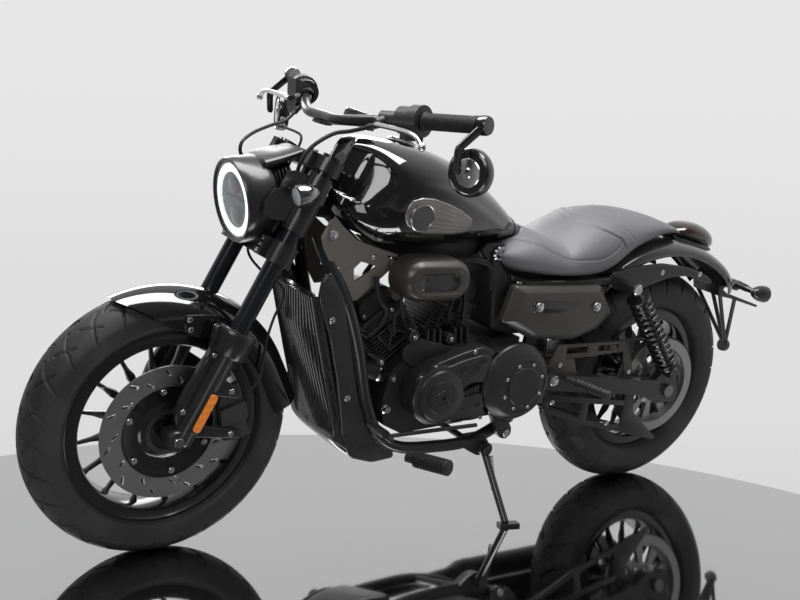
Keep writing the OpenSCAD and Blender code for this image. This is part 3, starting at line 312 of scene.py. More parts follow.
def tyre(axle, radius, width, crown, bead, bead_y, grooves, slant):
    """Section: bead, side wall arc, round crown. Grooves sink where a slanting wave crosses zero."""
    end = math.asin((width / 2 - 3) / crown)
    a = np.linspace(0, end, 22)
    tread = np.stack((radius - crown * (1 - np.cos(a)), crown * np.sin(a)), 1)[::-1]
    shoulder = tread[0, 0]
    middle = (shoulder + bead) / 2 + 6
    b = np.linspace(0, np.pi / 2, 9)
    low = np.stack(
        (bead + 14 + (middle - bead - 14) * (1 - np.cos(b)), bead_y + (width / 2 - bead_y) * np.sin(b)), 1
    )
    high = spline([low[-2], (middle, width / 2), (shoulder - 7, width / 2 - 0.6), tread[0]], 5)[6:-1]
    guard = [(bead + 0.3, bead_y - 8), (bead + 0.3, bead_y), (bead + 9, bead_y), (bead + 12, bead_y + 1.6)]
    half = np.concatenate((guard, low[1:], high, tread))
    section = np.concatenate((half, half[-2::-1] * (1, -1)))
    turns = 840
    angle = np.arange(turns) * 2 * np.pi / turns
    r = np.repeat(section[:, :1], turns, 1)
    y = np.repeat(section[:, 1:], turns, 1)
    side = np.sign(y) + (y == 0)
    across = np.abs(y) / (width / 2)
    for count, lean, low_y, high_y, deep, wide, shift in grooves:
        wave = (
            angle * count + lean * across * np.pi + slant * np.sin(across * 5) + shift + (side > 0) * np.pi
        ) / (2 * np.pi)
        gap = np.abs(wave - np.round(wave)) / count * 2 * np.pi * radius
        inside = np.clip((across - low_y) / 0.03, 0, 1) * np.clip((high_y - across) / 0.03, 0, 1)
        r -= deep * inside * np.clip((wide - gap) / 1.2, 0, 1) * (r > shoulder - 26)
    x, z = axle[0] + r * np.cos(angle), axle[2] + r * np.sin(angle)
    return lattice(np.stack((x, y, z), -1), (True, True))


def rubber(name, tone, rough, scale, depth):
    """Rubber: fine grain in the surface and a little dust that lifts the colour in patches."""
    made, w, shader = new_material(name, Specular_IOR_Level=0.35)
    place = w.place()
    grain = w.noise(place, scale, 3.0)
    dust = w.noise(place, 9.0, 5.0).over(0.4, 0.75)
    feed(
        w, shader,
        Base_Color=dust.between((*(c * 0.8 for c in tone), 1), (*(c * 1.5 for c in tone), 1)),
        Roughness=rough + dust * 0.12,
        Normal=grain.bump(0.35, depth),
    )
    return made


tyre_rubber = rubber("tyre_rubber", (0.022, 0.022, 0.023), 0.52, 700.0, 0.0006)
block_grooves = [
    (26, 1.9, 0.14, 1.02, 6.0, 3.8, 0.0),
    (26, -2.4, 0.34, 0.78, 5.5, 3.0, 1.9),
    (13, 0.8, -1.0, 0.30, 5.5, 3.4, 0.6),
]
piece(
    "front_tyre_rubber", [tyre(FRONT_AXLE, 299, 120, 66, 203, 38, block_grooves, 0.5)],
    "front_wheel", tyre_rubber, ["front_tyre"], 50,
)
piece(
    "rear_tyre_rubber", [tyre(REAR_AXLE, 310.5, 150, 80, 190.5, 48, block_grooves, 0.5)],
    "rear_wheel", tyre_rubber, ["rear_tyre"], 50,
)


# Wheels: cast alloy in black enamel. Sixteen spear-shaped spokes with a ridge run from the hub
# to a deep band with rolled lips.
def paint(name, tone, rough, metallic=0.0, coat=0.0, speckle=0.12, grain=420.0, depth=0.00015, wear=0.0):
    """Paint over metal: a fine orange-peel grain and patches of handling in the gloss."""
    made, w, shader = new_material(name, Metallic=metallic, Coat_Weight=coat, Coat_Roughness=0.03)
    place = w.place()
    peel = w.noise(place, grain, 2.0)
    haze = w.noise(place, 14.0, 4.0)
    rubbed = w.noise(place, 60.0, 6.0).over(0.62, 0.80) * wear
    pale = tuple(min(1.0, c * 2.2 + 0.03) for c in tone)
    base = haze.between((*(c * (1 - speckle) for c in tone), 1), (*(c * (1 + speckle) for c in tone), 1))
    feed(
        w, shader,
        Base_Color=rubbed.between(base, (*pale, 1)),
        Roughness=rough * 0.82 + haze * (rough * 0.36),
        Normal=peel.bump(0.25, depth),
    )
    return made


satin_black = paint("satin_black_paint", (0.014, 0.014, 0.015), 0.30, coat=0.2)
rim_black = paint("rim_black_enamel", (0.010, 0.010, 0.0105), 0.20, coat=0.5)
matte_black = paint("matte_black_paint", (0.020, 0.020, 0.021), 0.47, grain=900.0, depth=0.0003)


def spear(axle, r0, r1, half, turn):
    """A spoke: width swells to a point two thirds of the way out; the section is a ridge-backed diamond."""
    mid = (r0 + r1) / 2
    along = np.array([r0, mid - 34, mid - 8, mid + 12, mid + 34, r1 - 14, r1])
    wide = np.array([7.5, 4.6, 6.5, 10.0, 5.6, 4.6, 9.0])
    thick = np.array([half + 2, half - 1, half, half + 1, half - 1.5, half - 1, half + 3])
    a = np.arange(8) * np.pi / 4
    s = np.sign(np.cos(a)) * np.abs(np.cos(a)) ** 1.25
    c = np.sign(np.sin(a)) * np.abs(np.sin(a)) ** 0.8
    t = wide[:, None] * c
    y = thick[:, None] * s
    x = axle[0] + along[:, None] * math.cos(turn) - t * math.sin(turn)
    z = axle[2] + along[:, None] * math.sin(turn) + t * math.cos(turn)
    return lattice(np.stack((x, y, z), -1), (False, True), True)


def rim_shells(axle, bead, bead_y, hub_r, hub, spokes, first):
    """Band, hub barrel and flange turned about the axle, and the spokes between them."""
    lip = bead_y + 4.5
    band = [
        (bead - 13, -lip), (bead + 11, -lip), (bead + 14, -lip + 1.5), (bead + 14, -bead_y),
        (bead + 1, -bead_y + 1),
        (bead, -bead_y + 10), (bead - 8, -bead_y + 16), (bead - 8, bead_y - 16), (bead, bead_y - 10),
        (bead + 1, bead_y - 1),
        (bead + 14, bead_y), (bead + 14, lip - 1.5), (bead + 11, lip), (bead - 13, lip), (bead - 16, lip - 5),
        (bead - 17, 0), (bead - 16, -lip + 5),
    ]
    barrel = [
        (10.1, hub[0]), (hub_r - 2, hub[0]), (hub_r, hub[0] + 2), (hub_r, hub[1] - 2), (hub_r - 2, hub[1]),
        (10.1, hub[1])
    ]
    flange = [(20, -24), (hub_r + 11, -24), (hub_r + 15, -19), (hub_r + 15, 19), (hub_r + 11, 24), (20, 24)]
    shells = [turned(p, axle, sides=144, wraps=True) for p in (band, barrel, flange)]
    return shells + [
        spear(axle, hub_r + 10, bead - 13, 9, first + k * 2 * math.pi / spokes) for k in range(spokes)
    ]


def bolt(centre, axis, radius, high, recess=0.45):
    """A cap screw: a rounded head with a socket in it."""
    r = radius
    return turned(
        [
            (0, -0.3), (r * 0.96, -0.3), (r, 0.2 * high), (r, 0.78 * high), (r * 0.86, high),
            (r * recess, high), (r * recess * 0.9, high * 0.35), (0, high * 0.35)
        ],
        centre, axis, 20,
    )


def around(axle, radius, y, count, first=0.0):
    """Points evenly round an axle at one radius."""
    a = first + np.arange(count) * 2 * np.pi / count
    return np.stack((axle[0] + radius * np.cos(a), np.full(count, float(y)), axle[2] + radius * np.sin(a)), 1)


front_spokes = rim_shells(FRONT_AXLE, 203, 38, 30, (-62, 49), 16, math.radians(12.8))
carrier = [
    (20, 46), (99, 46), (106, 50), (106, 58.4), (98, 58.4), (92, 55), (64, 54), (58, 58.4), (40, 58.4),
    (38, 56), (20, 56)
]
front_spokes.append(turned(carrier, FRONT_AXLE, sides=120, wraps=True))
piece("front_wheel_casting", front_spokes, "front_wheel", rim_black, ["front_rim"])
rear_spokes = rim_shells(REAR_AXLE, 190.5, 48, 38, (-76, 84), 16, math.radians(10))
piece("rear_wheel_casting", rear_spokes, "rear_wheel", rim_black, ["rear_rim"])


# Brake discs: ground steel rings with slanted slots, fixed to the hub by button screws.
# The slots are sunk in the ring's faces, and the ring has a turned step at its inner edge.
RINGS = 22
FRONT_DISC_Y = 61
# Each row of slots: inner and outer radius, turn and slant.
FRONT_SLOTS = ((111, 125, 0.0, 0.07), (130, 144, 2.6, 0.07))


def slotted_disc(axle, inner, outer, y, half, rows, slots):
    """A flat ring; each slot is a short slanted bar of the face sunk by nearly the half thickness."""
    radii = np.linspace(inner, outer, RINGS)
    turns = 660
    angle = np.arange(turns) * 2 * np.pi / turns
    r, a = np.meshgrid(radii, angle, indexing="ij")
    sunk = np.zeros_like(r)
    for low, high, shift, lean in rows:
        wave = (a * slots + shift + (r - (low + high) / 2) * lean) / (2 * np.pi)
        gap = np.abs(wave - np.round(wave)) / slots * 2 * np.pi * r
        sunk = np.maximum(sunk, np.clip((4.2 - gap) / 1.0, 0, 1) * ((r > low) & (r < high)))
    flat = half * (1 - 0.86 * sunk)
    faces = np.concatenate((np.stack((r, y + flat), -1), np.stack((r, y - flat), -1)[::-1]))
    grid = np.stack(
        (axle[0] + faces[..., 0] * np.cos(angle), faces[..., 1], axle[2] + faces[..., 0] * np.sin(angle)), -1
    )
    return lattice(grid, (True, True))


ground_steel, w, shader = new_material("ground_steel", Metallic=1.0)
place = w.place()
rings = w.noise(place, 260.0, 4.0)
swirl = w.noise(place, 22.0, 3.0)
feed(
    w, shader,
    Base_Color=swirl.between((0.27, 0.27, 0.265, 1), (0.38, 0.38, 0.375, 1)),
    Roughness=0.26 + rings * 0.20,
    Normal=rings.bump(0.2, 0.0001),
)
piece(
    "front_brake_disc",
    [slotted_disc(FRONT_AXLE, 104, 150, FRONT_DISC_Y, 2.2, FRONT_SLOTS, 11)],
    "front_wheel", ground_steel, ["front_disc"],
)
piece(
    "rear_brake_disc",
    [slotted_disc(REAR_AXLE, 62, 120, -80.2, 2.2, ((70, 84, 0.0, 0.07), (94, 110, 2.6, 0.07)), 11)]
    + [turned([(20, -82.3), (64, -82.3), (64, -78.2), (20, -78.2)], REAR_AXLE, sides=64, wraps=True)],
    "rear_wheel", ground_steel, ["rear_disc"],
)
# Near-black bars in the front disc's slots: painted shade for the depth of the slots.
slot_shade_black = paint("slot_shade_black", (0.006, 0.006, 0.006), 0.6)


def slot_shade_bars(axle, y, rows, slots):
    """A dark bar laid in each slot as painted shade for its depth: its ends follow the slot's slant at the
    row's two radii.
    """
    made = []
    for low, high, shift, lean in rows:
        for k in range(slots):
            ends = []
            for r in (low + 2.5, high - 2.5):
                turn = (2 * np.pi * k - shift - (r - (low + high) / 2) * lean) / slots
                ends.append((axle[0] + r * math.cos(turn), y, axle[2] + r * math.sin(turn)))
            way = np.subtract(ends[1], ends[0])
            made.append(
                turned(
                    [(0, 0), (2.05, 0.6), (2.05, np.linalg.norm(way) - 0.6), (0, np.linalg.norm(way))],
                    ends[0], way, 8
                )
            )
    return made


piece(
    "front_disc_slot_shade", slot_shade_bars(FRONT_AXLE, FRONT_DISC_Y, FRONT_SLOTS, 11), "front_wheel",
    slot_shade_black
)
zinc = paint("bright_zinc", (0.62, 0.62, 0.62), 0.24, metallic=1.0, speckle=0.1, grain=300.0, wear=0.3)
left = (0, 1, 0)
piece(
    "disc_screws",
    [bolt(p, left, 7.5, 4.5) for p in around(FRONT_AXLE, 92, 58.4, 6, 0.35)]
    + [bolt(p, left, 5.0, 3.0) for p in around(FRONT_AXLE, 110, 63.2, 5, 0.7)],
    "front_wheel", zinc,
)
piece(
    "wheel_speed_ring",
    [turned([(40, 58), (50, 58), (50, 61), (40, 61)], FRONT_AXLE, sides=96, wraps=True)]
    + [bolt(p, left, 1.6, 1.4, 0.1) for p in around(FRONT_AXLE, 46.5, 60.8, 36)],
    "front_wheel", matte_black,
)


# Front fork: dark hard-anodised tubes in satin black sliders, with a wide seal guard, a fin in
# front and an amber reflector on each. Everything here turns with the steering.
RAKE = math.radians(25.4)


def on_fork(points):
    """Points given as [forward of the axle line, y, up the fork] on the upright machine."""
    s, y, t = np.moveaxis(np.asarray(points, float), -1, 0)
    return np.stack(
        (
            FRONT_AXLE[0] + s * math.cos(RAKE) - t * math.sin(RAKE), y,
            FRONT_AXLE[2] + s * math.sin(RAKE) + t * math.cos(RAKE)
        ),
        -1
    )


def steered(*shells):
    """Shells drawn on the fork's own axes, moved onto the machine."""
    return [(on_fork(points), faces) for points, faces in shells]


def both(*shells):
    """Shells and their mirror images across the middle plane."""
    return list(shells) + [(points * (1, -1, 1), faces) for points, faces in shells]


def tube(path, radius, sides=16, ref=(0, 1, 0), rounded=False):
    """Circles of the radius (one value or one a point) across a path: centre + r (cos u + sin v)."""
    p = np.asarray(path, float)
    radius = np.broadcast_to(np.asarray(radius, float), (len(p),))
    if rounded:
        way = p[-1] - p[-2]
        p = np.concatenate((p, [p[-1] + way / np.linalg.norm(way) * radius[-1] * 0.35]))
        radius = np.concatenate((radius, [radius[-1] * 0.6]))
    way = np.gradient(p, axis=0)
    way /= np.linalg.norm(way, axis=1, keepdims=True)
    u = np.cross(way, np.asarray(ref, float))
    u /= np.linalg.norm(u, axis=1, keepdims=True)
    v = np.cross(way, u)
    a = np.arange(sides) * 2 * np.pi / sides
    ring = p[:, None] + radius[:, None, None] * (
        np.cos(a)[None, :, None] * u[:, None] + np.sin(a)[None, :, None] * v[:, None]
    )
    return lattice(ring, (False, True), True)


def soften(outline, reach, steps=5):
    """A closed outline with each corner replaced by a curve that starts and ends that far from it."""
    p = np.asarray(outline, float)
    before, after = np.roll(p, 1, 0) - p, np.roll(p, -1, 0) - p
    lb, la = np.linalg.norm(before, axis=1, keepdims=True), np.linalg.norm(after, axis=1, keepdims=True)
    a = p + before / lb * np.minimum(reach, lb * 0.45)
    b = p + after / la * np.minimum(reach, la * 0.45)
    t = np.linspace(0, 1, steps)[None, :, None]
    return ((1 - t) ** 2 * a[:, None] + 2 * t * (1 - t) * p[:, None] + t**2 * b[:, None]).reshape(-1, 2)


def slab(outline, y0, y1, edge=1.5, low_edge=None, steps=4):
    """A plate of a side-view outline from y0 to y1, its rims quarter circles drawn inwards."""
    p = np.asarray(outline, float)
    way = np.roll(p, -1, 0) - np.roll(p, 1, 0)
    way /= np.maximum(np.linalg.norm(way, axis=1, keepdims=True), 1e-9)
    area = np.sum(p[:, 0] * np.roll(p[:, 1], -1) - np.roll(p[:, 0], -1) * p[:, 1])
    inward = np.stack((-way[:, 1], way[:, 0]), 1) * np.sign(area)
    low_edge = edge if low_edge is None else low_edge
    a = np.linspace(0, np.pi / 2, steps)
    inset = np.concatenate((low_edge * (1 - np.sin(a)), edge * (1 - np.cos(a))))
    level = np.concatenate((y0 + low_edge * (1 - np.cos(a)), y1 - edge * (1 - np.sin(a))))
    ring = p[None] + inset[:, None, None] * inward[None]
    return lattice(
        np.stack((ring[..., 0], np.broadcast_to(level[:, None], ring.shape[:2]), ring[..., 1]), -1),
        (False, True), True
    )


LEG_BACK, LEG_Y = -12, 98


def leg(profile, lift=0.0):
    """A round part on the left fork leg, as [radius, height up the fork]."""
    return turned(profile, (LEG_BACK, LEG_Y + lift, 0), (0, 0, 1), 56)


tube_black = paint(
    "hard_anodised_tube", (0.028, 0.029, 0.032), 0.20, metallic=0.6, grain=1200.0, depth=0.00005
)
nodes["fork_tubes"].data.materials.clear()
nodes["fork_tubes"].data.materials.append(tube_black)
slider = [(0, -8), (18, -8), (25, -4), (27, 2), (27, 208), (29, 212)]
guard = [(28, 205), (38.5, 205), (40.5, 208), (43.4, 250), (43.6, 258), (41, 262), (22, 262)]
fin = slab(
    soften(
        [
            (-10, 240), (30, 246), (36, 260), (44, 248), (24, 186), (28, 170), (36, 90), (30, 48), (14, 26),
            (-10, 24)
        ],
        8
    ),
    90, 106, 2.5
)
lug = [
    slab(soften([(-20, 158), (-94, 148), (-94, 130), (-20, 108)], 7), 84, 96, 2),
    slab(soften([(-20, 40), (-140, 66), (-150, 52), (-20, 8)], 7), 84, 96, 2),
]
clamp = turned(
    [(10.2, 73), (22, 73), (24, 76), (24, 116), (21, 120), (10.2, 120)], (0, 0, 0), (0, 1, 0), 48, True
)
pad = slab(soften([(-30, 28), (-8, 28), (-8, 128), (-30, 128)], 6), 108, 126.2, 2)
piece(
    "fork_slider_castings",
    steered(*both(leg(slider), leg(guard), fin, clamp, pad, *lug)),
    "steering", satin_black, ["fork_sliders"],
)
piece(
    "fork_screws",
    steered(*both(
        *[bolt(p, left, 6.5, 4.5) for p in ((20, 106, 232), (16, 106, 196), (18, 106, 60))],
        bolt((0, 119.5, 0), left, 11, 7, 0.55), bolt((-70, 96, 138), left, 7, 5),
        bolt((-118, 96, 52), left, 7, 5),
        *[
            turned([(0, 0), (4.2, 0), (4.2, 5), (3, 6), (0, 6)], (s, y, 672), (0, 0, 1), 16)
            for s, y in ((20, 82), (20, 64))
        ],
    )),
    "steering", zinc,
)

# Reflectors: moulded amber bars with a fine prism grid behind a clear face, with a faint painted glow.
amber, w, shader = new_material("amber_reflector_painted_glow", Coat_Weight=0.8, Coat_Roughness=0.05)
place = w.place()
prisms = w.node(
    "ShaderNodeTexVoronoi", {"distance": "MANHATTAN"}, {"Vector": place, "Scale": 330.0, "Randomness": 0.0}
)
feed(
    w, shader,
    Base_Color=(prisms * 1.3).between((0.95, 0.36, 0.045, 1), (0.60, 0.15, 0.01, 1)),
    Roughness=0.18 + prisms * 0.2,
    Emission_Color=prisms.between((0.9, 0.32, 0.03, 1), (0.5, 0.12, 0.01, 1)),
    Normal=prisms.bump(0.5, 0.0004),
)
# The emission colour and strength are painted light: a faint glow standing for light the reflector throws
# back.
shader.inputs["Emission Strength"].default_value = 0.12
stadium = soften([(-28.4, 34), (-9.6, 34), (-9.6, 123), (-28.4, 123)], 9.4, 9)
piece(
    "fork_reflector_bars", steered(*both(slab(stadium, 126.7, 130.8, 1.6))), "steering", amber,
    ["fork_reflectors"]
)

# Front fender: pressed steel in gloss black, two straps of it bolted to the fork legs.
# Its section is an arc over the tyre with straight sides, carried round the wheel.
def gloss(name, tone, rough=0.06):
    """Deep enamel under clear lacquer, with the faintest ripple."""
    made, w, shader = new_material(name, Coat_Weight=1.0, Coat_Roughness=0.02, Specular_IOR_Level=0.55)
    place = w.place()
    ripple = w.noise(place, 16.0, 2.0)
    flake = w.noise(place, 900.0, 1.0)
    feed(
        w, shader,
        Base_Color=flake.between((*(c * 0.7 for c in tone), 1), (*(c * 1.3 for c in tone), 1)),
        Roughness=rough + ripple * 0.04,
        Normal=ripple.bump(0.06, 0.0006),
    )
    return made


gloss_black = gloss("gloss_black_enamel", (0.006, 0.006, 0.0065))


def half_arc(radius, y_side, low):
    """Half section of the fender: [radius from the axle, y] from the side's lower edge to the top."""
    end = math.asin(y_side / radius)
    a = np.linspace(end, 0, 16)
    return np.concatenate(
        ([(low, y_side), (low + 8, y_side)], np.stack((233 + radius * np.cos(a), radius * np.sin(a)), 1))
    )


def fender_grid(angles, tail):
    """The section at each angle round the wheel, then straight on by each distance in tail."""
    outer, inner = half_arc(77, 68, 233), half_arc(74.2, 65.2, 231)
    loop = np.concatenate((outer, outer[-2::-1] * (1, -1), inner * (1, -1), inner[-2::-1]))
    a = np.radians(angles)[:, None]
    r = loop[None, :, 0]
    x, z = r * np.cos(a), r * np.sin(a)
    last = np.radians(angles[-1])
    more = np.asarray(tail)[:, None]
    x2 = r * math.cos(last) - more * math.sin(last)
    z2 = r * math.sin(last) + more * math.cos(last)
    x, z = np.concatenate((x, x2)), np.concatenate((z, z2))
    y = np.broadcast_to(loop[None, :, 1], x.shape)
    return np.stack((FRONT_AXLE[0] + x, y, FRONT_AXLE[2] + z), -1)


angles = np.linspace(66, 152, 60)
fender_points = fender_grid(angles, np.linspace(8, 100, 8))
# The lower the skin hangs in front, the further back it starts.
start = np.clip(1 - np.arange(len(fender_points)) / 26, 0, 1)[:, None]
lean_back = np.radians(22) * start * np.clip(
    (fender_points[0, :, 2].max() - fender_points[0, :, 2]) / 75, 0, 1
)[None]
dx, dz = fender_points[..., 0] - FRONT_AXLE[0], fender_points[..., 2] - FRONT_AXLE[2]
fender_points[..., 0] = FRONT_AXLE[0] + dx * np.cos(lean_back) - dz * np.sin(lean_back)
fender_points[..., 2] = FRONT_AXLE[2] + dx * np.sin(lean_back) + dz * np.cos(lean_back)
stay = slab(
    soften([(1324, 562), (1408, 562), (1404, 522), (1360, 508), (1320, 526)], 9), 67.2, 70.6, 1,
)
piece(
    "front_fender_skin", [lattice(fender_points, (False, True), True), *both(stay)], "steering",
    gloss_black, ["front_fender"]
)
piece(
    "fender_screws",
    both(*[bolt(p, left, 6, 3) for p in ((1396, 69.5, 552), (1392, 69.5, 530), (1336, 69.5, 536))]),
    "steering", zinc
)

# Lamp: a black bowl with a deep smooth bezel, a cowl over the top and cooling fins behind.
# The glass has a bright ring of light round a dark reflector with a bar of lamps across it.
TIP = math.radians(9.4) + RAKE
LAMP_AHEAD, LAMP_UP = 99, 497


def at_lamp(points):
    """Points as [out of the lamp's face, y, up it], on the fork's axes."""
    out, y, up = np.moveaxis(np.asarray(points, float), -1, 0)
    return np.stack(
        (
            LAMP_AHEAD + out * math.cos(TIP) + up * math.sin(TIP), y,
            LAMP_UP - out * math.sin(TIP) + up * math.cos(TIP)
        ),
        -1
    )


def lamp(*shells):
    """Shells drawn on the lamp's axes, moved onto the machine."""
    return [(on_fork(at_lamp(points)), faces) for points, faces in shells]


def squarish(rings, power=2.5, sides=48, y=0.0):
    """Sections at x, each [x, half width, low z, high z]: a superellipse with that power."""
    rings = np.asarray(rings, float)
    a = np.arange(sides) * 2 * np.pi / sides
    c, s = np.cos(a), np.sin(a)
    p = rings[:, 4:5] if rings.shape[1] > 4 else np.full((len(rings), 1), power)
    across = np.sign(c) * np.abs(c) ** (2 / p)
    up = np.sign(s) * np.abs(s) ** (2 / p)
    x = np.broadcast_to(rings[:, :1], across.shape)
    return np.stack(
        (
            x, y + rings[:, 1:2] * across,
            (rings[:, 2:3] + rings[:, 3:4]) / 2 + (rings[:, 3:4] - rings[:, 2:3]) / 2 * up
        ),
        -1
    )


bezel = [
    (0, -78), (70, -78), (86, -72), (92.4, -58), (93, -20), (92.4, -4), (90, 0), (86, 0.4), (81, -3),
    (79.9, -9), (79.9, -14), (0, -14)
]
cowl = squarish(
    [
        (-52, 50, 60, 86, 2.6), (-60, 58, 62, 92.5, 3), (-100, 56, 70, 96, 3), (-140, 50, 80, 100, 3),
        (-154, 46, 86, 100.5, 3), (-156, 40, 88, 98, 3)
    ]
)
fins = [
    lattice(
        squarish(
            [
                (-83 - 9 * k, 60, -82 + 2 * k, 80, 2.4), (-83.5 - 9 * k, 62, -84 + 2 * k, 82, 2.4),
                (-86.5 - 9 * k, 62, -84 + 2 * k, 82, 2.4), (-87 - 9 * k, 60, -82 + 2 * k, 80, 2.4)
            ]
        ),
        (False, True), True
    )
    for k in range(5)
]
core = lattice(squarish([(-76, 54, -74, 72), (-122, 48, -66, 70)]), (False, True), True)
piece(
    "headlight_bowl",
    lamp(turned(bezel, (0, 0, 0), (1, 0, 0), 128), lattice(cowl, (False, True), True), core, *fins),
    "steering", satin_black, ["headlight_housing"],
)
halo, w, shader = new_material("lit_ring", Roughness=0.3)
glim = w.noise(w.place(), 90.0, 1.0)
lit = glim.between((0.97, 0.98, 1.0, 1), (0.90, 0.93, 0.95, 1))
feed(w, shader, Base_Color=lit, Emission_Color=lit)
shader.inputs["Emission Strength"].default_value = 0.95
ring = [(60, -8.4), (63, -5), (69, -3.9), (75.5, -4.2), (78.5, -7), (78.5, -12.4), (60, -12.4)]
piece("headlight_halo", lamp(turned(ring, (0, 0, 0), (1, 0, 0), 128, True)), "steering", halo)
mirror_dark, w, shader = new_material("lamp_reflector", Metallic=0.25)
tint = w.noise(w.place(), 9.0, 1.0)
feed(
    w, shader,
    Base_Color=w.node(
        "ShaderNodeValToRGB",
        {
            "stops": [
                (0.30, (0.02, 0.02, 0.022)), (0.46, (0.08, 0.05, 0.11)), (0.56, (0.03, 0.11, 0.09)),
                (0.70, (0.10, 0.10, 0.12))
            ]
        },
        {0: tint}
    ),
    Roughness=0.08 + tint * 0.2
)
bowl = [(0, -13.6), (20, -13.4), (44, -11.5), (57, -9.2), (60, -8.8), (60, -13.8), (0, -13.9)]
projector = [(0, -13), (19, -12), (19.5, -7.4), (14, -5.6), (0, -5)]
piece(
    "headlight_reflector",
    lamp(
        turned(bowl, (0, 0, 0), (1, 0, 0), 96),
        *[turned(projector, (0, 0, z), (1, 0, 0), 40) for z in (-32, 32)],
        lattice(
            squarish([(-12, 58, -7, 7, 4), (-6.4, 57, -6, 6, 4), (-5.6, 55, -5, 5, 4)]), (False, True), True
        )
    ),
    "steering", mirror_dark,
)
glass, w, shader = new_material("clear_lens", Transmission_Weight=1.0, IOR=1.45)
smear = w.noise(w.place(), 18.0)
feed(
    w, shader, Base_Color=smear.between((0.95, 0.96, 0.97, 1), (0.99, 0.99, 1, 1)),
    Roughness=0.01 + smear * 0.03
)
cover = [(0, -2.2), (40, -2.7), (70, -3.3), (79.6, -4.6), (79.6, -5.4), (70, -4.0), (40, -3.4), (0, -2.9)]
piece(
    "headlight_glass", lamp(turned(cover, (0, 0, 0), (1, 0, 0), 128)), "steering", glass,
    ["headlight_lens"]
)

piece(
    "clamp_bolts",
    steered(*[bolt((31.7, y, t), (1, 0, 0), 4.8, 5) for y in (82, -82) for t in (433, 447, 461)]),
    "steering", zinc,
)

# Front turn signals: chromed bullets with a clear dished lens, on short rubber stalks.
dark_chrome = paint("dark_chrome", (0.34, 0.34, 0.35), 0.12, metallic=1.0, grain=500.0, depth=0.00004)
bullet = [
    (0, 54), (24 * 0.2, 53.2), (24 * 0.36, 51.3), (24 * 0.6, 44.3), (24 * 0.82, 33.5), (24 * 0.95, 22.7),
    (23.8, 12), (24, 3), (21, 0), (20, 0), (20, 2), (0, 2.4)
]
signal_turn = RAKE + math.radians(14)
signal_way = (-math.cos(signal_turn), 0, math.sin(signal_turn))
piece(
    "front_signal_bullets",
    steered(
        *both(
            turned(bullet, (50, 150, 565), signal_way, 64),
            tube([(42, 103.2, 576), (41.5, 116, 575.5), (40, 136, 574)], (9, 8, 8), 20, (1, 0, 0))
        )
    ),
    "steering", dark_chrome, ["front_indicators"],
)
signal_lens, w, shader = new_material("signal_lens", Coat_Weight=1.0)
flute = w.node("ShaderNodeTexVoronoi", {}, {"Vector": w.place(), "Scale": 260.0})
feed(
    w, shader, Base_Color=flute.between((0.72, 0.73, 0.74, 1), (0.35, 0.36, 0.37, 1)),
    Roughness=0.08 + flute * 0.2, Normal=flute.bump(0.5, 0.0006)
)
piece(
    "front_signal_lenses",
    steered(
        *both(turned([(0, -1.6), (10, -1.2), (17, 0.2), (20, 2), (0, 2.6)], (50, 150, 565), signal_way, 48))
    ),
    "steering", signal_lens,
)


# Handlebar: a low wide bar in satin black on risers, ribbed rubber grips, ball-ended levers and a
# round mirror under each end. Points are in millimetres forward, left and up from the bar's middle.
def on_bar(points):
    """Points about the middle of the bar, moved onto the upright machine."""
    return np.asarray(points, float) + (1097.53, 0, 984.0)


def barred(*shells):
    """Shells drawn about the bar's middle, moved onto the machine."""
    return [(on_bar(points), faces) for points, faces in shells]


def at_grip(y, dx=0.0, dz=0.0):
    """The line of the grip where it passes y."""
    return (-68 - 0.32 * (y - 200) + dx, y, 25 + 0.115 * (y - 200) + dz)


grip_way = np.array((-0.32, 1, 0.115)) / np.linalg.norm((-0.32, 1, 0.115))
half_bar = spline(
    [
        (0, 0, 0), (0, 20, 0), (0, 56, 0), (-12, 96, 5), (-38, 150, 15), at_grip(200), at_grip(300),
        at_grip(393)
    ],
    9
)
whole_bar = np.concatenate(((half_bar * (1, -1, 1))[:0:-1], half_bar))
piece(
    "handlebar_tube", barred(tube(whole_bar, 11.1, 24, (1, 0, 0.3))), "steering", satin_black,
    ["handlebar"]
)

grip_rubber = rubber("grip_rubber", (0.017, 0.017, 0.018), 0.6, 1500.0, 0.0005)
ribs = [(11.5, 0), (18.4, 0), (19.4, 2), (18.4, 4)]
for k in range(18):
    at = 6 + k * 6.2
    ribs += [(16.6, at), (16.6, at + 1.6), (17.6, at + 2.0), (17.6, at + 5.6)]
ribs += [(16.6, 118.4), (17.8, 120), (18.8, 126), (17.8, 134), (11.5, 135)]
piece(
    "grip_sleeves", barred(*both(turned(ribs, at_grip(264), grip_way, 48, True))), "steering",
    grip_rubber, ["grips"]
)

polished = paint("polished_alloy", (0.66, 0.66, 0.66), 0.20, metallic=1.0, grain=260.0, wear=0.2)
blade = spline(
    [(-20, 193, 11), (-21, 220, 12), (-21, 270, 13.5), (-21, 310, 13.5), (-22, 334, 9), (-24, 352, -4)], 6
)
blade_r = np.interp(np.arange(len(blade)), [0, 6, 14, 22, 27, 30], [8, 6.6, 6.6, 6.0, 5.2, 5.4])


def flat_tube(path, wide, high, sides=16):
    """A blade: ellipses across a path, wide fore and aft and high up and down."""
    p = np.asarray(path, float)
    way = np.gradient(p, axis=0)
    way /= np.linalg.norm(way, axis=1, keepdims=True)
    u = np.cross(way, (0, 0, 1.0))
    u /= np.linalg.norm(u, axis=1, keepdims=True)
    v = np.cross(u, way)
    a = np.arange(sides) * 2 * np.pi / sides
    wide, high = (np.broadcast_to(np.asarray(s, float), (len(p),))[:, None, None] for s in (wide, high))
    return lattice(
        p[:, None] + wide * np.cos(a)[None, :, None] * u[:, None] + high * np.sin(a)[None, :, None]
        * v[:, None],
        (False, True), True
    )


def ball(centre, radius, rows=18):
    """A sphere as a half circle turned upright."""
    t = np.linspace(-np.pi / 2, np.pi / 2, rows)
    return turned(np.stack((radius * np.cos(t), radius * np.sin(t)), 1), centre, (0, 0, 1), 28)


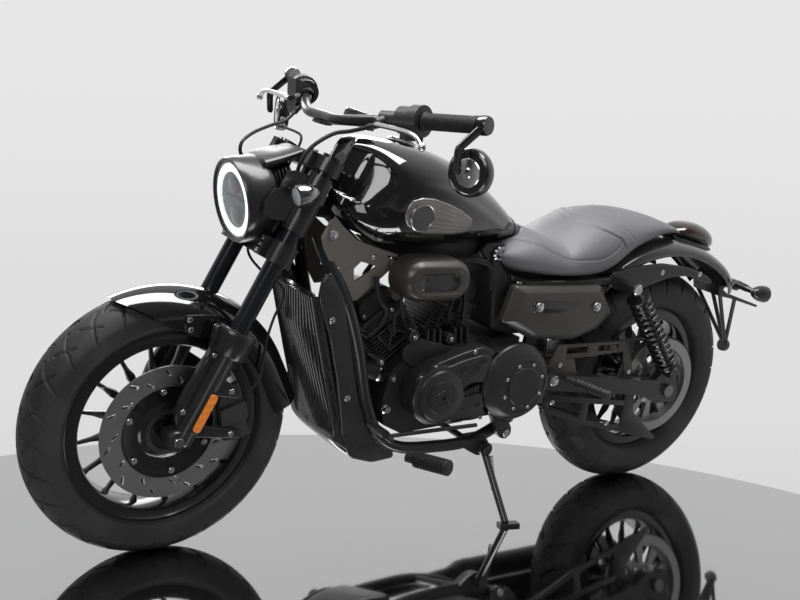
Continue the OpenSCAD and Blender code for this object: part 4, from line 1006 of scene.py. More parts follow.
piece(
    "lever_blades", barred(*both(flat_tube(blade, blade_r, blade_r * 0.8), ball((-24.6, 356, -7), 8.4))),
    "steering", polished, ["levers"],
)
paint_gloss = paint("semi_gloss_black", (0.012, 0.012, 0.013), 0.18, coat=0.6)
mirror_turn = math.radians(20)
mirror_way = (math.cos(mirror_turn), math.sin(mirror_turn), 0)
arm = slab(
    soften(
        [(-142, 42), (-124, 54), (-118, 50), (-67, 3), (-74, -50), (-90, -50), (-84, -3), (-130, 36)], 12, 6
    ),
    401.2, 408.8, 2.6
)
pod = [
    (0, -14), (40, -14), (46, -12), (48, -8), (48, 8), (46.6, 12), (43, 14), (41, 13), (40, 11.5), (0, 11.5)
]
cap = turned([(0, -0.5), (17, -0.5), (20, 2), (20, 16), (18, 20.5), (0, 21)], at_grip(393.4), grip_way, 40)
piece(
    "mirror_pods", barred(*both(arm, cap, turned(pod, (-115, 405, -45), mirror_way, 72))),
    "steering", paint_gloss, ["mirrors"],
)
inner = [(0, 15.2), (8, 15.2), (10, 12.6), (22, 12.8), (27, 13.8), (29, 12.6), (29, 11.0), (0, 11.0)]
piece(
    "mirror_back_discs", barred(*both(turned(inner, (-115, 405, -45), mirror_way, 72))), "steering",
    polished
)
glass_face, w, shader = new_material("silvered_glass", Metallic=1.0)
film = w.noise(w.place(), 40.0)
feed(
    w, shader, Base_Color=film.between((0.80, 0.82, 0.84, 1), (0.90, 0.91, 0.92, 1)),
    Roughness=0.02 + film * 0.02
)
piece(
    "mirror_glasses",
    barred(
        *both(turned([(0, -14.8), (43, -14.6), (44, -13.9), (0, -13.9)], (-115, 405, -45), mirror_way, 72))
    ),
    "steering", glass_face
)

# Control cables and the front brake hose: black sheaths from the levers down past the head.
# Their points are on the fork's axes, so they turn with it.
sheath = rubber("cable_sheath", (0.014, 0.014, 0.015), 0.42, 900.0, 0.0002)
runs = [
    (
        4.5,
        [
            (-14, 172, 767), (0, 132, 742), (14, 104, 724), (34, 94, 690), (43, 90, 661), (40, 84, 628),
            (26, 81, 592), (14.6, 80, 552)
        ]
    ),
    (
        4.0,
        [
            (-30, -170, 762), (-10, -158, 722), (30, -138, 690), (70, -112, 656), (96, -88, 624),
            (88, -84, 600), (62, -84, 594), (36, -82, 592), (14.2, -80, 560)
        ]
    ),
    (
        3.0,
        [
            (-24, -196, 724), (-14, -150, 708), (-14, -104, 706), (-17, -74, 702), (-19, -63.6, 684),
            (-19, -63.6, 650), (-19, -60, 600), (-19, -54, 460), (-22, -44, 418), (-48, -4, 396),
            (-88, 34, 388), (-104, 46, 366), (-98, 60, 320), (-100, 74, 270), (-116, 80, 220),
            (-124, 86, 186), (-114, 90, 156)
        ]
    ),
]
piece(
    "sheathed_cables", steered(*[tube(spline(points, 6), r, 14, (0.2, 0.9, 0.35)) for r, points in runs], *[
        turned(
            [(r, -8), (r + 2.4, -8), (r + 2.6, -6), (r + 2.6, 8), (r + 1.4, 11), (r, 11)], points[0],
            np.subtract(points[0], points[1]), 20, True
        )
        for r, points in runs
    ]),
    "steering", sheath, ["cables"],
)

# Instrument: a small round clock in a black cup with a dark glass face, a bright rim and a needle.
face_way = (-math.sin(math.radians(17)), 0, math.cos(math.radians(17)))
face_x = (math.cos(math.radians(17)), 0, math.sin(math.radians(17)))
piece(
    "clock_rim",
    barred(
        turned(
            [(33, 0), (38, 0), (39.4, -2), (38, 2.6), (35, 3.4), (33, 1.4)], (-100, 0, 8), face_way, 72, True
        )
    ),
    "steering", dark_chrome
)
dial, w, shader = new_material("dial_glass", Coat_Weight=1.0, Coat_Roughness=0.02)
fog = w.noise(w.place(), 120.0)
feed(
    w, shader, Base_Color=fog.between((0.006, 0.006, 0.007, 1), (0.02, 0.02, 0.022, 1)),
    Roughness=0.1 + fog * 0.1
)
piece(
    "clock_face", barred(turned([(0, 1.0), (33.4, 1.0), (33.4, 0.2), (0, 0.2)], (-100, 0, 8), face_way, 72)),
    "steering", dial
)
ticks = []
for k in range(21):
    turn = math.radians(-130 + 13 * k)
    out = np.array(face_x) * math.cos(turn) + np.array((0, 1, 0)) * math.sin(turn)
    foot = np.array((-100, 0, 8)) + 1.05 * np.array(face_way)
    ticks.append(
        tube([foot + out * (27 if k % 2 else 24.5), foot + out * 31], 0.55 if k % 2 else 0.9, 6, face_way)
    )
piece("clock_marks", barred(*ticks), "steering", halo)


# Tank: deep gloss black, wide in front and drawn out to a narrow tail. Each side has a raised
# teardrop with a grey badge plate of long grooves and a round plain disc in a bright ring.
tank_rings = np.array([
    (1080, 0.48, 806, 900, 2.4), (1066, 0.64, 772, 922, 2.6), (1030, 0.83, 736, 938, 2.7),
    (970, 0.97, 706, 944, 2.6), (900, 1.0, 698, 937, 2.5),
    (820, 0.97, 698, 921, 2.4), (740, 0.87, 700, 893, 2.3), (660, 0.72, 704, 850, 2.2),
    (600, 0.58, 708, 808, 2.2), (560, 0.46, 712, 774, 2.2),
    (532, 0.34, 716, 752, 2.2), (516, 0.22, 722, 742, 2.0),
]) * (1, 143, 1, 1, 1)


def tank_half(x, z):
    """Half width of the tank at x and z: its section is |y/w|^e + |(z - middle)/half|^e = 1."""
    x = np.asarray(x, float)
    w, low, high, e = (np.interp(x, tank_rings[::-1, 0], tank_rings[::-1, k]) for k in (1, 2, 3, 4))
    up = np.clip(np.abs((z - (low + high) / 2) / ((high - low) / 2)), 0, 1)
    return w * (1 - up**e) ** (1 / e)


def depth_inside(x, z, outline):
    """Distance in the side view from each point to a closed outline, above zero inside it."""
    p = np.asarray(outline, float)
    q = np.roll(p, -1, 0)
    best = np.full(np.shape(x), 1e9)
    crossings = np.zeros(np.shape(x), int)
    for (ax, az), (bx, bz) in zip(p, q):
        t = np.clip(((x - ax) * (bx - ax) + (z - az) * (bz - az)) / ((bx - ax) ** 2 + (bz - az) ** 2), 0, 1)
        best = np.minimum(best, np.hypot(x - ax - t * (bx - ax), z - az - t * (bz - az)))
        if az != bz:
            crossings += ((az > z) != (bz > z)) & (x < (bx - ax) * (z - az) / (bz - az) + ax)
    return np.where(crossings % 2 == 1, best, -best)


def clear_of_fork(points):
    """Tank points pushed back out of the room that the fork, its clamps and the stem need at full lock."""
    s = (
        points[..., 0] - FRONT_AXLE[0]
    ) * math.cos(RAKE) + (points[..., 2] - FRONT_AXLE[2]) * math.sin(RAKE) + 48
    t = (points[..., 2] - FRONT_AXLE[2]) * math.cos(RAKE) - (points[..., 0] - FRONT_AXLE[0]) * math.sin(RAKE)
    y, side = np.abs(points[..., 1]), np.where(points[..., 1] < 0, -1.0, 1.0)
    for lock in (36, 26):
        c, d = math.cos(math.radians(lock)), math.sin(math.radians(lock))
        past = s * c + y * d + 3
        over = (past + np.hypot(past, 13)) / 2 * (t > 628) * (y * c - s * d > 0)
        s, y = s - over * c, y - over * d
        for low, high, reach in ((550, 640, 37), (624, 768, 41.5)):
            ds, dy = s - (36 * c - 98 * d), y - (36 * d + 98 * c)
            far = np.maximum(np.hypot(ds, dy), 1e-6)
            push = np.where((far < reach) & (t > low) & (t < high), reach / far, 1)
            s, y = s + ds * (push - 1), y + dy * (push - 1)
    far = np.maximum(np.hypot(s, y), 1e-6)
    push = np.where((far < 48) & (t > 600), 48 / far, 1)
    push = np.where((far < 29) & (t <= 600), 29 / far, push)
    s, y = s * push - 48, y * push
    return np.stack(
        (
            FRONT_AXLE[0] + s * math.cos(RAKE) - t * math.sin(RAKE), y * side,
            FRONT_AXLE[2] + s * math.sin(RAKE) + t * math.cos(RAKE)
        ),
        -1
    )


rings = spline(tank_rings, 10)
rings = np.concatenate(
    (
        rings[:1] * (1, 0.5, 1, 1, 1) + (3, 0, 24, -24, 0), rings[:1] * (1, 0.85, 1, 1, 1) + (2, 0, 8, -8, 0),
        rings, rings[-1:] * (1, 0.6, 1, 1, 1) + (-3, 0, 4, -4, 0)
    )
)
skin = squarish(rings[:, [0, 1, 2, 3, 4]], sides=176)
bulge = soften(
    [
        (966, 815), (943, 846), (905, 862), (860, 865), (800, 850), (720, 815), (640, 774), (580, 748),
        (640, 734), (760, 722), (880, 716), (945, 735), (972, 775)
    ],
    16
)
raised = np.clip((depth_inside(skin[..., 0], skin[..., 2], bulge) + 9) / 22, 0, 1)
raised = raised * raised * (3 - 2 * raised) * np.clip(np.abs(skin[..., 1]) / 60, 0, 1)
skin[..., 1] += np.sign(skin[..., 1]) * raised * 4.2
skin = clear_of_fork(skin)
piece(
    "fuel_tank_shell", [lattice(skin, (False, True), True)], "chassis", gloss_black,
    ["fuel_tank"], 60
)

brushed, w, shader = new_material("grooved_badge", Metallic=0.85, Coat_Weight=0.4)
place = w.place()
streak = w.noise(w.node("ShaderNodeMapping", {}, {"Vector": place, "Scale": (12.0, 400.0, 400.0)}), 1.0, 3.0)
feed(
    w, shader,
    Base_Color=streak.between((0.20, 0.19, 0.185, 1), (0.38, 0.37, 0.36, 1)),
    Roughness=0.30 + streak * 0.2,
    Normal=streak.bump(0.3, 0.0002),
)
bx = np.linspace(743, 943.5, 84)
top = np.interp(
    bx, [743, 746, 758, 789, 831, 872, 904, 930, 940, 943.5],
    [776, 784, 792, 808, 823, 834, 835, 828, 813, 800]
)
low = np.interp(
    bx, [743, 746, 758, 789, 831, 872, 904, 930, 940, 943.5],
    [764, 758, 750, 746.5, 747.5, 749, 755, 769, 782, 793]
)
v = np.linspace(0, 1, 96)
gx = np.broadcast_to(bx[:, None], (84, 96))
gz = low[:, None] + (top - low)[:, None] * v
out = tank_half(gx, gz) + 4.2
edge = np.clip(
    np.minimum(v, 1 - v)[None] * (top - low)[:, None] / 4, 0, 1
) * np.clip(np.minimum(gx - 742, 944.5 - gx) / 4, 0, 1)
line = v * 7 - 0.5
groove = (np.abs(line - np.round(line)) < 0.16) & (line > -0.2) & (line < 6.2)
front = out + 2.6 * np.sqrt(edge) - 1.4 * groove * (edge >= 1)
badge_plate = np.stack((gx, front, gz), -1)
rim_back = np.stack((gx, out - 3, gz), -1)
around_edge = np.concatenate(
    (
        np.arange(96) + 0, 95 + 96 * np.arange(1, 84), 83 * 96 + np.arange(94, -1, -1),
        96 * np.arange(82, 0, -1)
    )
)
flat = badge_plate.reshape(-1, 3)
grid_faces = lattice(badge_plate)[1]
n = len(around_edge)
badge_faces = grid_faces + [
    [int(around_edge[k]), int(around_edge[(k + 1) % n]), len(flat) + (k + 1) % n, len(flat) + k]
    for k in range(n)
] + [list(range(len(flat), len(flat) + n))]
badge = (np.concatenate((flat, rim_back.reshape(-1, 3)[around_edge])), badge_faces)
piece("tank_badge_plates", both(badge), "chassis", brushed, crease=30)
centre = np.array((899.0, tank_half(899, 790) + 5.2, 790.0))
slope = np.array(
    (tank_half(899, 790) - tank_half(900, 790), 1.0, tank_half(899, 789.5) - tank_half(899, 790.5))
)
piece(
    "tank_badge_rings",
    both(
        turned(
            [(28.5, 1), (29.6, 3.6), (31, 4.2), (32.2, 3.4), (32.6, -3), (28.5, -3)], centre, slope, 72, True
        )
    ),
    "chassis", polished
)
dark_plate = paint("dark_badge_face", (0.10, 0.098, 0.098), 0.30, metallic=0.5, grain=700.0)
badge_faces = piece(
    "tank_badge_faces",
    both(turned([(0, 2.6), (20, 2.5), (28.6, 1.9), (28.6, -3), (0, -3)], centre, slope, 64)), "chassis",
    dark_plate
)
cap_way = (-math.sin(math.radians(9)), 0, math.cos(math.radians(9)))
piece(
    "fuel_cap_lid",
    [
        turned(
            [(0, 10), (20, 10), (25, 9.2), (26, 7.4), (29.4, 7), (31.6, 5), (32, 0), (32, -1), (0, -1)],
            (884, 0, 934.6), cap_way, 72
        )
    ],
    "chassis", paint_gloss, ["fuel_cap"]
)
piece(
    "fuel_cap_ring",
    [turned([(32, -1), (36.5, -1), (36.5, 1.6), (34.5, 2.6), (32, 2.2)], (884, 0, 936.0), cap_way, 72, True)],
    "chassis", dark_chrome
)
piece(
    "tank_tail_trim",
    [
        lattice(
            squarish(
                [
                    (562, 67, 716, 768, 2.2), (560, 68, 710, 776, 2.2), (556, 66, 709, 775, 2.2),
                    (534, 50, 713, 756, 2.2), (515, 34, 719, 745, 2.2), (509, 22, 724, 741, 2.2)
                ],
                sides=64
            ),
            (False, True), True
        )
    ],
    "chassis", satin_black,
)


# Seat: one padded saddle in dark grey grained leather, dished for the rider and crowned behind.
# A seam runs round the dish, a stitched strap crosses in front of the rear pad.
domes = np.array([
    (622, 0.66, 672, 690, 702), (596, 0.84, 655, 682, 722), (555, 0.94, 644, 676, 738),
    (508, 0.98, 639, 668, 745), (487, 0.99, 637, 664, 741),
    (452, 1.0, 635, 660, 731), (416, 1.0, 633, 658, 721), (386, 1.0, 632, 660, 738),
    (347, 1.0, 631, 666, 763), (292, 0.97, 632, 684, 785),
    (240, 0.90, 648, 704, 791), (170, 0.79, 692, 728, 792), (80, 0.68, 723, 748, 779),
    (20, 0.58, 732, 750, 764), (-30, 0.40, 730, 738, 748), (-52, 0.22, 728, 733, 738),
]) * (1, 140, 1, 1, 1)
fine = spline(domes, 9)


def seat_at(x, turn):
    """Point of the seat's skin: x along it, and the turn: 0 at the side, pi/2 on top, below 0 under it."""
    x, turn = np.broadcast_arrays(np.asarray(x, float), np.asarray(turn, float))
    w, base, side, crown = (np.interp(x, fine[::-1, 0], fine[::-1, k]) for k in (1, 2, 3, 4))
    c, s = np.cos(turn), np.sin(turn)
    power = np.where(s > 0, 2.1, 3.0)
    y = w * np.sign(c) * np.abs(c) ** (2 / power)
    z = np.where(
        s > 0, side + (crown - side) * np.abs(s) ** (2 / power),
        side - (side - base) * np.abs(s) ** (2 / power)
    )
    return np.stack((x, y, z), -1)


def under_tank(points):
    """Keeps the seat's nose under the tank's tail: its top is held below the tank's underside."""
    x, y, z = np.moveaxis(points, -1, 0)
    w, low, high, e = (np.interp(x, tank_rings[::-1, 0], tank_rings[::-1, k]) for k in (1, 2, 3, 4))
    across = np.clip(np.abs(y) / (w + 2), 0, 1)
    floor_z = (low + high) / 2 - (high - low) / 2 * (1 - across**e) ** (1 / e) - 2.5
    return np.stack((x, y, np.where((x > 512) & (across < 1), np.minimum(z, floor_z), z)), -1)


seam_x, seam_a = np.array(
    [
        (578, 64), (554, 52), (528, 45), (494, 35), (464, 29), (416, 23), (388, 16), (330, 7), (298, 5),
        (274, 6), (250, 10), (240, 18)
    ],
    float
).T
strap_front = lambda a: np.interp(np.abs(a), np.radians([0, 21, 45, 68, 90]), [224, 248, 302, 334, 350])
strap_back = lambda a: np.interp(np.abs(a), np.radians([0, 26, 47, 68, 90]), [190, 216, 264, 302, 324])
stations = np.linspace(621.9, -51.9, 230)
turns = np.arange(208) * 2 * np.pi / 208
sx, sa = np.meshgrid(stations, turns, indexing="ij")
lift = np.where(np.sin(sa) >= 0, np.minimum(sa, np.pi - sa), 0)
seat_skin = seat_at(sx, sa)
centre_line = seat_skin * (1, 0, 0) + np.stack(
    (sx * 0, sx * 0, np.interp(sx, fine[::-1, 0], fine[::-1, 3])), -1
)
outward = seat_skin - centre_line
outward /= np.maximum(np.linalg.norm(outward, axis=-1, keepdims=True), 1e-6)
upper = np.clip(np.sin(sa) * 8, 0, 1)
seam_at = np.radians(np.interp(sx, seam_x[::-1], seam_a[::-1], right=90))
gap = (lift - seam_at) * 130
pressed = -2.4 * np.exp(-((gap / 2.6) ** 2)) * (sx > 240) * (sx < 580)
puff = 2.0 * np.clip(gap / 30, 0, 1) * np.exp(-np.clip(gap, 0, None) / 60) * (sx > 245) * (sx < 575)
inside = np.minimum(strap_front(lift) - sx, sx - strap_back(lift))
band = np.clip(inside / 2 + 0.5, 0, 1) * 2.6 - 2.4 * np.exp(-(((inside + 2) / 2.2) ** 2))
seat_skin = seat_skin + outward * (upper * (pressed + puff + band))[..., None]
seat_skin = under_tank(seat_skin)
leather, w, shader = new_material("grained_leather", Specular_IOR_Level=0.45)
place = w.place()
pebble = w.node(
    "ShaderNodeTexVoronoi", {"feature": "SMOOTH_F1"}, {"Vector": place, "Scale": 520.0, "Smoothness": 0.4}
)
soft = w.noise(place, 30.0, 5.0)
rub = w.noise(place, 6.0, 3.0).over(0.42, 0.7)
feed(
    w, shader,
    Base_Color=(pebble * 0.5 + rub * 0.5).between((0.100, 0.099, 0.104, 1), (0.145, 0.143, 0.150, 1)),
    Roughness=0.44 + soft * 0.12 - rub * 0.04,
    Normal=(pebble * 0.8 + soft * 0.5).bump(0.45, 0.0006),
)
seat = piece(
    "saddle", [lattice(seat_skin, (False, True), True)], "chassis", leather, ["seat"], 75
)

thread = paint("grey_thread", (0.30, 0.30, 0.31), 0.6, grain=2500.0)


def stitches(curve, long=3.4, gap=2.2, rise=0.5, sides=5):
    """Short rounded stitches laid end to end along a curve of surface points."""
    p = np.asarray(curve, float)
    run = np.concatenate(([0], np.cumsum(np.linalg.norm(np.diff(p, axis=0), axis=1))))
    made = []
    for at in np.arange(gap, run[-1] - long, long + gap):
        t = np.array([at, at + long * 0.2, at + long * 0.8, at + long])
        q = np.stack([np.interp(t, run, p[:, k]) for k in range(3)], 1) + (0, 0, rise)
        made.append(tube(q, (0.35, 0.75, 0.75, 0.35), sides, (0.3, 0.2, 0.9)))
    return made


def seat_curve(x, degrees, off):
    """A line over the seat's skin, lifted off it by off."""
    a = np.radians(degrees)
    p = under_tank(seat_at(x, a))
    middle = np.stack((x, 0 * x, np.interp(x, fine[::-1, 0], fine[::-1, 3])), -1)
    away = p - middle
    return p + away / np.linalg.norm(away, axis=-1, keepdims=True) * off


t = np.linspace(0, 1, 90)
seam_xs = np.interp(t, np.linspace(0, 1, len(seam_x)), seam_x)
sewn = stitches(seat_curve(seam_xs, np.interp(t, np.linspace(0, 1, len(seam_a)), seam_a) - 2.4, 0.4))
sewn = both(*sewn)
over = np.linspace(2, 178, 150)
lean_a = np.radians(np.minimum(over, 180 - over))
for share in (0.2, 0.8):
    xs = strap_back(lean_a) * (1 - share) + strap_front(lean_a) * share
    sewn += stitches(seat_curve(xs, over, 2.8))
arc_x, arc_a = np.array(
    [(262, 90), (240, 86), (220, 80), (211, 69), (209, 51), (206, 33), (198, 20)], float
).T
arc = seat_curve(np.interp(t, np.linspace(0, 1, 7), arc_x), np.interp(t, np.linspace(0, 1, 7), arc_a), 0.2)
sewn += both(*stitches(arc))
piece("saddle_stitches", sewn, "chassis", thread)
rail = paint("bright_rail", (0.60, 0.60, 0.60), 0.18, metallic=1.0, grain=200.0)


# Rear body: curved fender, the two blades that carry it, smoked tail lamp, side covers and
# the rear turn signals.
fender_outline = spline([(370, 99.5), (380, 100), (391, 93), (399, 77), (403.4, 55), (404, 28), (404, 0)], 5)
fender_out = np.concatenate((fender_outline, fender_outline[-2::-1] * (1, -1)))
fender_in = np.stack((fender_out[:, 0] - 3.4, fender_out[:, 1] * 0.964), 1)[::-1]
loop = np.concatenate((fender_out, fender_in))
arc = np.radians(np.linspace(45, 138, 76))
tip = np.clip((np.degrees(arc) - 122) / 16, 0, 1) ** 2
r = loop[None, :, 0] - tip[:, None] * 6 * np.abs(loop[None, :, 1]) / 100
yy = loop[None, :, 1] * (1 - 0.24 * tip[:, None])
sheet = np.stack((REAR_AXLE[0] + r * np.cos(arc)[:, None], yy, REAR_AXLE[2] + r * np.sin(arc)[:, None]), -1)
body_black = gloss("body_black_enamel", (0.030, 0.030, 0.031), 0.24)
piece(
    "rear_fender_skin", [lattice(sheet, (False, True), True)], "chassis", body_black,
    ["rear_fender"], 50
)
blade_line = soften(
    [
        (255, 606), (255, 640), (220, 647), (155, 656), (63, 663), (-38, 651), (-100, 633), (-139, 615),
        (-142, 600), (-96, 612), (-45, 626), (20, 626), (68, 614), (139, 594), (205, 590)
    ],
    16
)
piece(
    "fender_blades", both(slab(blade_line, 101, 114, 5, 1, 6)), "chassis", satin_black,
    ["fender_struts"], 50
)
piece(
    "blade_screws",
    both(
        *[bolt((x, 113.2, z), left, 7.5, 3.5) for x, z in ((67, 640), (-82, 632))],
        turned(
            [(0, 0), (13, 0), (15, 2), (15, 6), (12.5, 8), (8, 8), (7, 5), (0, 5)], (213, 171.5, 613), left,
            40
        )
    ),
    "chassis", zinc,
)
smoked, w, shader = new_material("smoked_red_lens", Coat_Weight=1.0, Coat_Roughness=0.02)
place = w.place()
optic = w.node(
    "ShaderNodeTexVoronoi", {"distance": "CHEBYCHEV"}, {"Vector": place, "Scale": 190.0, "Randomness": 0.0}
)
back = w.node("ShaderNodeSeparateXYZ", {}, {"Vector": place}, 0).over(-0.825, -0.862)
feed(
    w, shader,
    Base_Color=(back * 0.9 + optic * 0.1).between((0.012, 0.008, 0.009, 1), (0.22, 0.012, 0.014, 1)),
    Roughness=0.08 + optic * 0.12,
    Normal=optic.bump(0.3, 0.0006),
)
tail = spline(
    [
        (-50, 15, 717, 727), (-64, 34, 713, 743), (-90, 46, 707, 753), (-125, 50, 698, 755),
        (-160, 48, 687, 749), (-190, 40, 681, 736), (-212, 27, 681, 717), (-220, 13, 688, 704)
    ],
    5
)
piece(
    "tail_lens", [lattice(squarish(tail, 2.2, 56), (False, True), True)], "chassis", smoked,
    ["tail_light"], 70
)
piece(
    "tail_lamp_base",
    [
        lattice(
            squarish(
                [
                    (-46, 20, 706, 722), (-50, 30, 702, 722), (-90, 48, 694, 716), (-150, 50, 680, 702),
                    (-196, 38, 674, 690), (-200, 30, 676, 686)
                ],
                2.6, 48
            ),
            (False, True), True
        )
    ],
    "chassis", satin_black,
)

bronze = paint("satin_bronze_grey", (0.060, 0.056, 0.051), 0.34, metallic=0.35, grain=800.0, depth=0.0002)
shell_plastic = paint("dark_grey_shell", (0.040, 0.038, 0.036), 0.36, coat=0.1, grain=1000.0, depth=0.0002)


def chamfered(low_line, high_line, y0, y1, y2, edge=2.5):
    """A cover between two like outlines: straight sides to y1, then a slope to y2, all edges eased."""
    a, b = soften(low_line, 9, 6), soften(high_line, 9, 6)
    rows = [
        (a, y0), (a, y1 - edge), (a * 0.94 + b * 0.06, y1 - edge * 0.25),
        (a * 0.82 + b * 0.18, y1 + (y2 - y1) * 0.2), (a * 0.2 + b * 0.8, y2 - (y2 - y1) * 0.14),
        (a * 0.06 + b * 0.94, y2 - 0.5), (b, y2)
    ]
    return lattice(
        np.stack([np.stack((p[:, 0], np.full(len(p), float(y)), p[:, 1]), 1) for p, y in rows]),
        (False, True), True
    )


cover_low = [(590, 622), (306, 618), (250, 540), (290, 500), (373, 474), (516, 484), (614, 532)]
cover_high = [(560, 606), (322, 602), (285, 545), (318, 522), (385, 498), (505, 502), (580, 540)]
piece(
    "side_cover_shells", both(chamfered(cover_low, cover_high, 118, 136, 150)), "chassis",
    shell_plastic, ["side_covers"], 34
)
strip = soften([(500, 588), (470, 586), (362, 577), (398, 560), (440, 553), (500, 552)], 4)
piece("side_cover_strips", both(slab(strip, 149.4, 150.6, 0.5)), "chassis", paint_gloss)
piece(
    "side_cover_rings",
    both(
        *[
            turned(
                [(13, 149.6), (19, 149.6), (19, 151), (17.5, 152.6), (13, 152.6)], (x, 0, z), left, 40, True
            )
            for x, z in ((516, 571), (323, 565))
        ]
    ),
    "chassis", satin_black,
)
piece(
    "side_cover_bolts",
    both(
        *[
            turned(
                [
                    (0, 149), (12.8, 149), (13, 152), (11.5, 156), (8, 157.6), (6, 157.8), (5.5, 154.5),
                    (0, 154.5)
                ],
                (x, 0, z), left, 40
            )
            for x, z in ((516, 571), (323, 565))
        ]
    ),
    "chassis", polished,
)
piece(
    "seat_rail_tubes",
    both(
        tube([(548, 105, 620), (520, 106, 622), (300, 107, 618), (262, 107, 618)], (6.5, 6.5, 6.5, 6.5), 20),
        ball((556, 106, 620), 9), tube([(556, 98, 620), (556, 110, 620)], 5, 16, (1, 0, 0))
    ),
    "chassis", rail,
)
piece(
    "key_lock",
    [
        turned(
            [
                (0, 84), (17, 84), (18, 86), (18, 96), (15, 99), (11, 99), (10.5, 96), (5, 96), (4, 98),
                (0, 98)
            ],
            (620, 0, 692), left, 48
        )
    ],
    "chassis", dark_chrome,
)
rear_bullet = [
    (0, 58), (4.8, 57), (9, 54.6), (14.6, 47.6), (19.6, 36), (22.6, 24.4), (23.8, 13), (24, 3), (21, 0),
    (20, 0), (20, 2), (0, 2.4)
]
rear_way = (math.cos(math.radians(8)), 0, math.sin(math.radians(8)))
signal_block = slab(
    soften([(-300.7, 582), (-290.5, 572.8), (-318, 562), (-336, 568), (-338, 590), (-312, 592)], 4), -62, 62,
    2
)
piece(
    "rear_signal_bullets",
    [signal_block] + both(
        turned(rear_bullet, (-352, 136, 572), rear_way, 56),
        tube(
            [(-316, 62.4, 583), (-317, 80, 581), (-320, 116, 577), (-326, 128, 575)], (10, 9, 8.4, 8.4), 20,
            (0, 0, 1)
        ),
        *[
            turned(
                [(8.6, -1.6), (10.6, -1.2), (10.6, 1.2), (8.6, 1.6)],
                (-316.6 - 0.08 * (y - 62), y, 583 - 0.11 * (y - 62)), left, 24, True
            )
            for y in (70, 76, 82, 88, 94)
        ]
    ),
    "chassis", satin_black, ["rear_indicators"],
)
piece(
    "rear_signal_lenses",
    both(turned([(0, -1.6), (10, -1.2), (17, 0.2), (20, 2), (0, 2.6)], (-352, 136, 572), rear_way, 48)),
    "chassis", signal_lens
)
plate_reflector, w, shader = new_material("red_reflector", Coat_Weight=0.8)
prisms = w.node(
    "ShaderNodeTexVoronoi", {"distance": "MANHATTAN"},
    {"Vector": w.place(), "Scale": 330.0, "Randomness": 0.0}
)
feed(
    w, shader, Base_Color=prisms.between((0.35, 0.02, 0.02, 1), (0.12, 0.005, 0.005, 1)),
    Roughness=0.15 + prisms * 0.2
)
reflector_way = (-math.sin(math.radians(78)), 0, -math.cos(math.radians(78)))
piece(
    "plate_reflector",
    [turned([(0, 5), (16.5, 5.2), (17.4, 7.4), (16.5, 8.8), (0, 9.4)], (-390, 0, 372), reflector_way, 40)],
    "chassis", plate_reflector
)


# Rear suspension: black dampers with closely wound springs outside them, one each side.
spring_foot, spring_head = np.array((13.0, 162.0, 368.0)), np.array((213.0, 162.0, 613.0))
spring_way = (spring_head - spring_foot) / np.linalg.norm(spring_head - spring_foot)
spring_u = np.cross(spring_way, left)
long = np.linalg.norm(spring_head - spring_foot)
steps = 13 * 28
k = np.arange(steps + 1) / steps
swirl = k * 13 * 2 * np.pi
rise = 42.3 + (long - 84.6) * np.clip((k - 0.05) / 0.9, 0, 1) + 3.6 * (
    np.clip(k, 0, 0.05) / 0.05 - 1
) + 3.6 * (np.clip(k, 0.95, 1) - 0.95) / 0.05
coil = spring_foot + rise[:, None] * spring_way + 26 * (
    np.cos(swirl)[:, None] * spring_u + np.sin(swirl)[:, None] * np.array(left)
)
enamel = paint("spring_enamel", (0.012, 0.012, 0.012), 0.20, coat=0.6, grain=600.0)
piece(
    "wound_springs", both(tube(coil, 4.6, 10, spring_way)), "chassis", enamel,
    ["shock_springs"]
)
piece(
    "spring_seats",
    both(
        *[
            turned(
                [(12, at), (31, at), (32, at + 1), (32, at + 3), (31, at + 4), (12, at + 4)], spring_foot,
                spring_way, 48, True
            )
            for at in (32.6, long - 36.6)
        ],
        turned([(9, 44), (17, 44), (17, 120), (9, 120)], spring_foot, spring_way, 32, True)
    ),
    "chassis", paint_gloss,
)
upper_guard = [
    [(148, 455), (118, 372), (110, 352), (146, 350), (166, 425), (188, 423), (188, 455)],
    [(370, 456), (404, 456), (440, 370), (318, 366), (340, 416), (370, 415)],
    [(186, 447), (372, 446.5), (372, 456), (186, 455)], [(186, 424), (372, 415), (372, 430), (186, 432)],
    [(260, 418), (298, 418), (298, 452), (260, 452)],
]
piece(
    "belt_guard_upper",
    [slab(soften(p, 3, 3), 118.8 + 0.02 * k, 122.8 - 0.02 * k, 0.8) for k, p in enumerate(upper_guard)],
    "chassis", bronze, ["belt_guards"]
)
lower_guard = [
    [(127, 298), (127, 208), (159, 199), (-10, 152), (-23, 158), (83, 244), (93, 304)],
    [(418, 322), (418, 306), (171, 272), (100, 262), (100, 277), (171, 288)],
    [(420, 294), (420, 280), (275, 225), (159, 199), (120, 208), (159, 215), (275, 241)],
    [(420, 320), (400, 318), (400, 276), (420, 282)], [(282, 298), (258, 295), (258, 228), (282, 236)],
]
piece(
    "belt_guard_lower",
    [slab(soften(p, 3, 3), 118.8 + 0.02 * k, 122.8 - 0.02 * k, 0.8) for k, p in enumerate(lower_guard)],
    "chassis", satin_black
)
piece(
    "guard_bolts",
    [bolt((x, 122.4, z), left, 7.5, 4) for x, z in ((388, 402), (134, 366), (180, 222), (392, 300))],
    "chassis", zinc,
)
piece(
    "pulley_screws", [bolt(p, left, 6, 4) for p in around(REAR_AXLE, 50, 101, 5, 0.3)], "rear_wheel",
    zinc
)

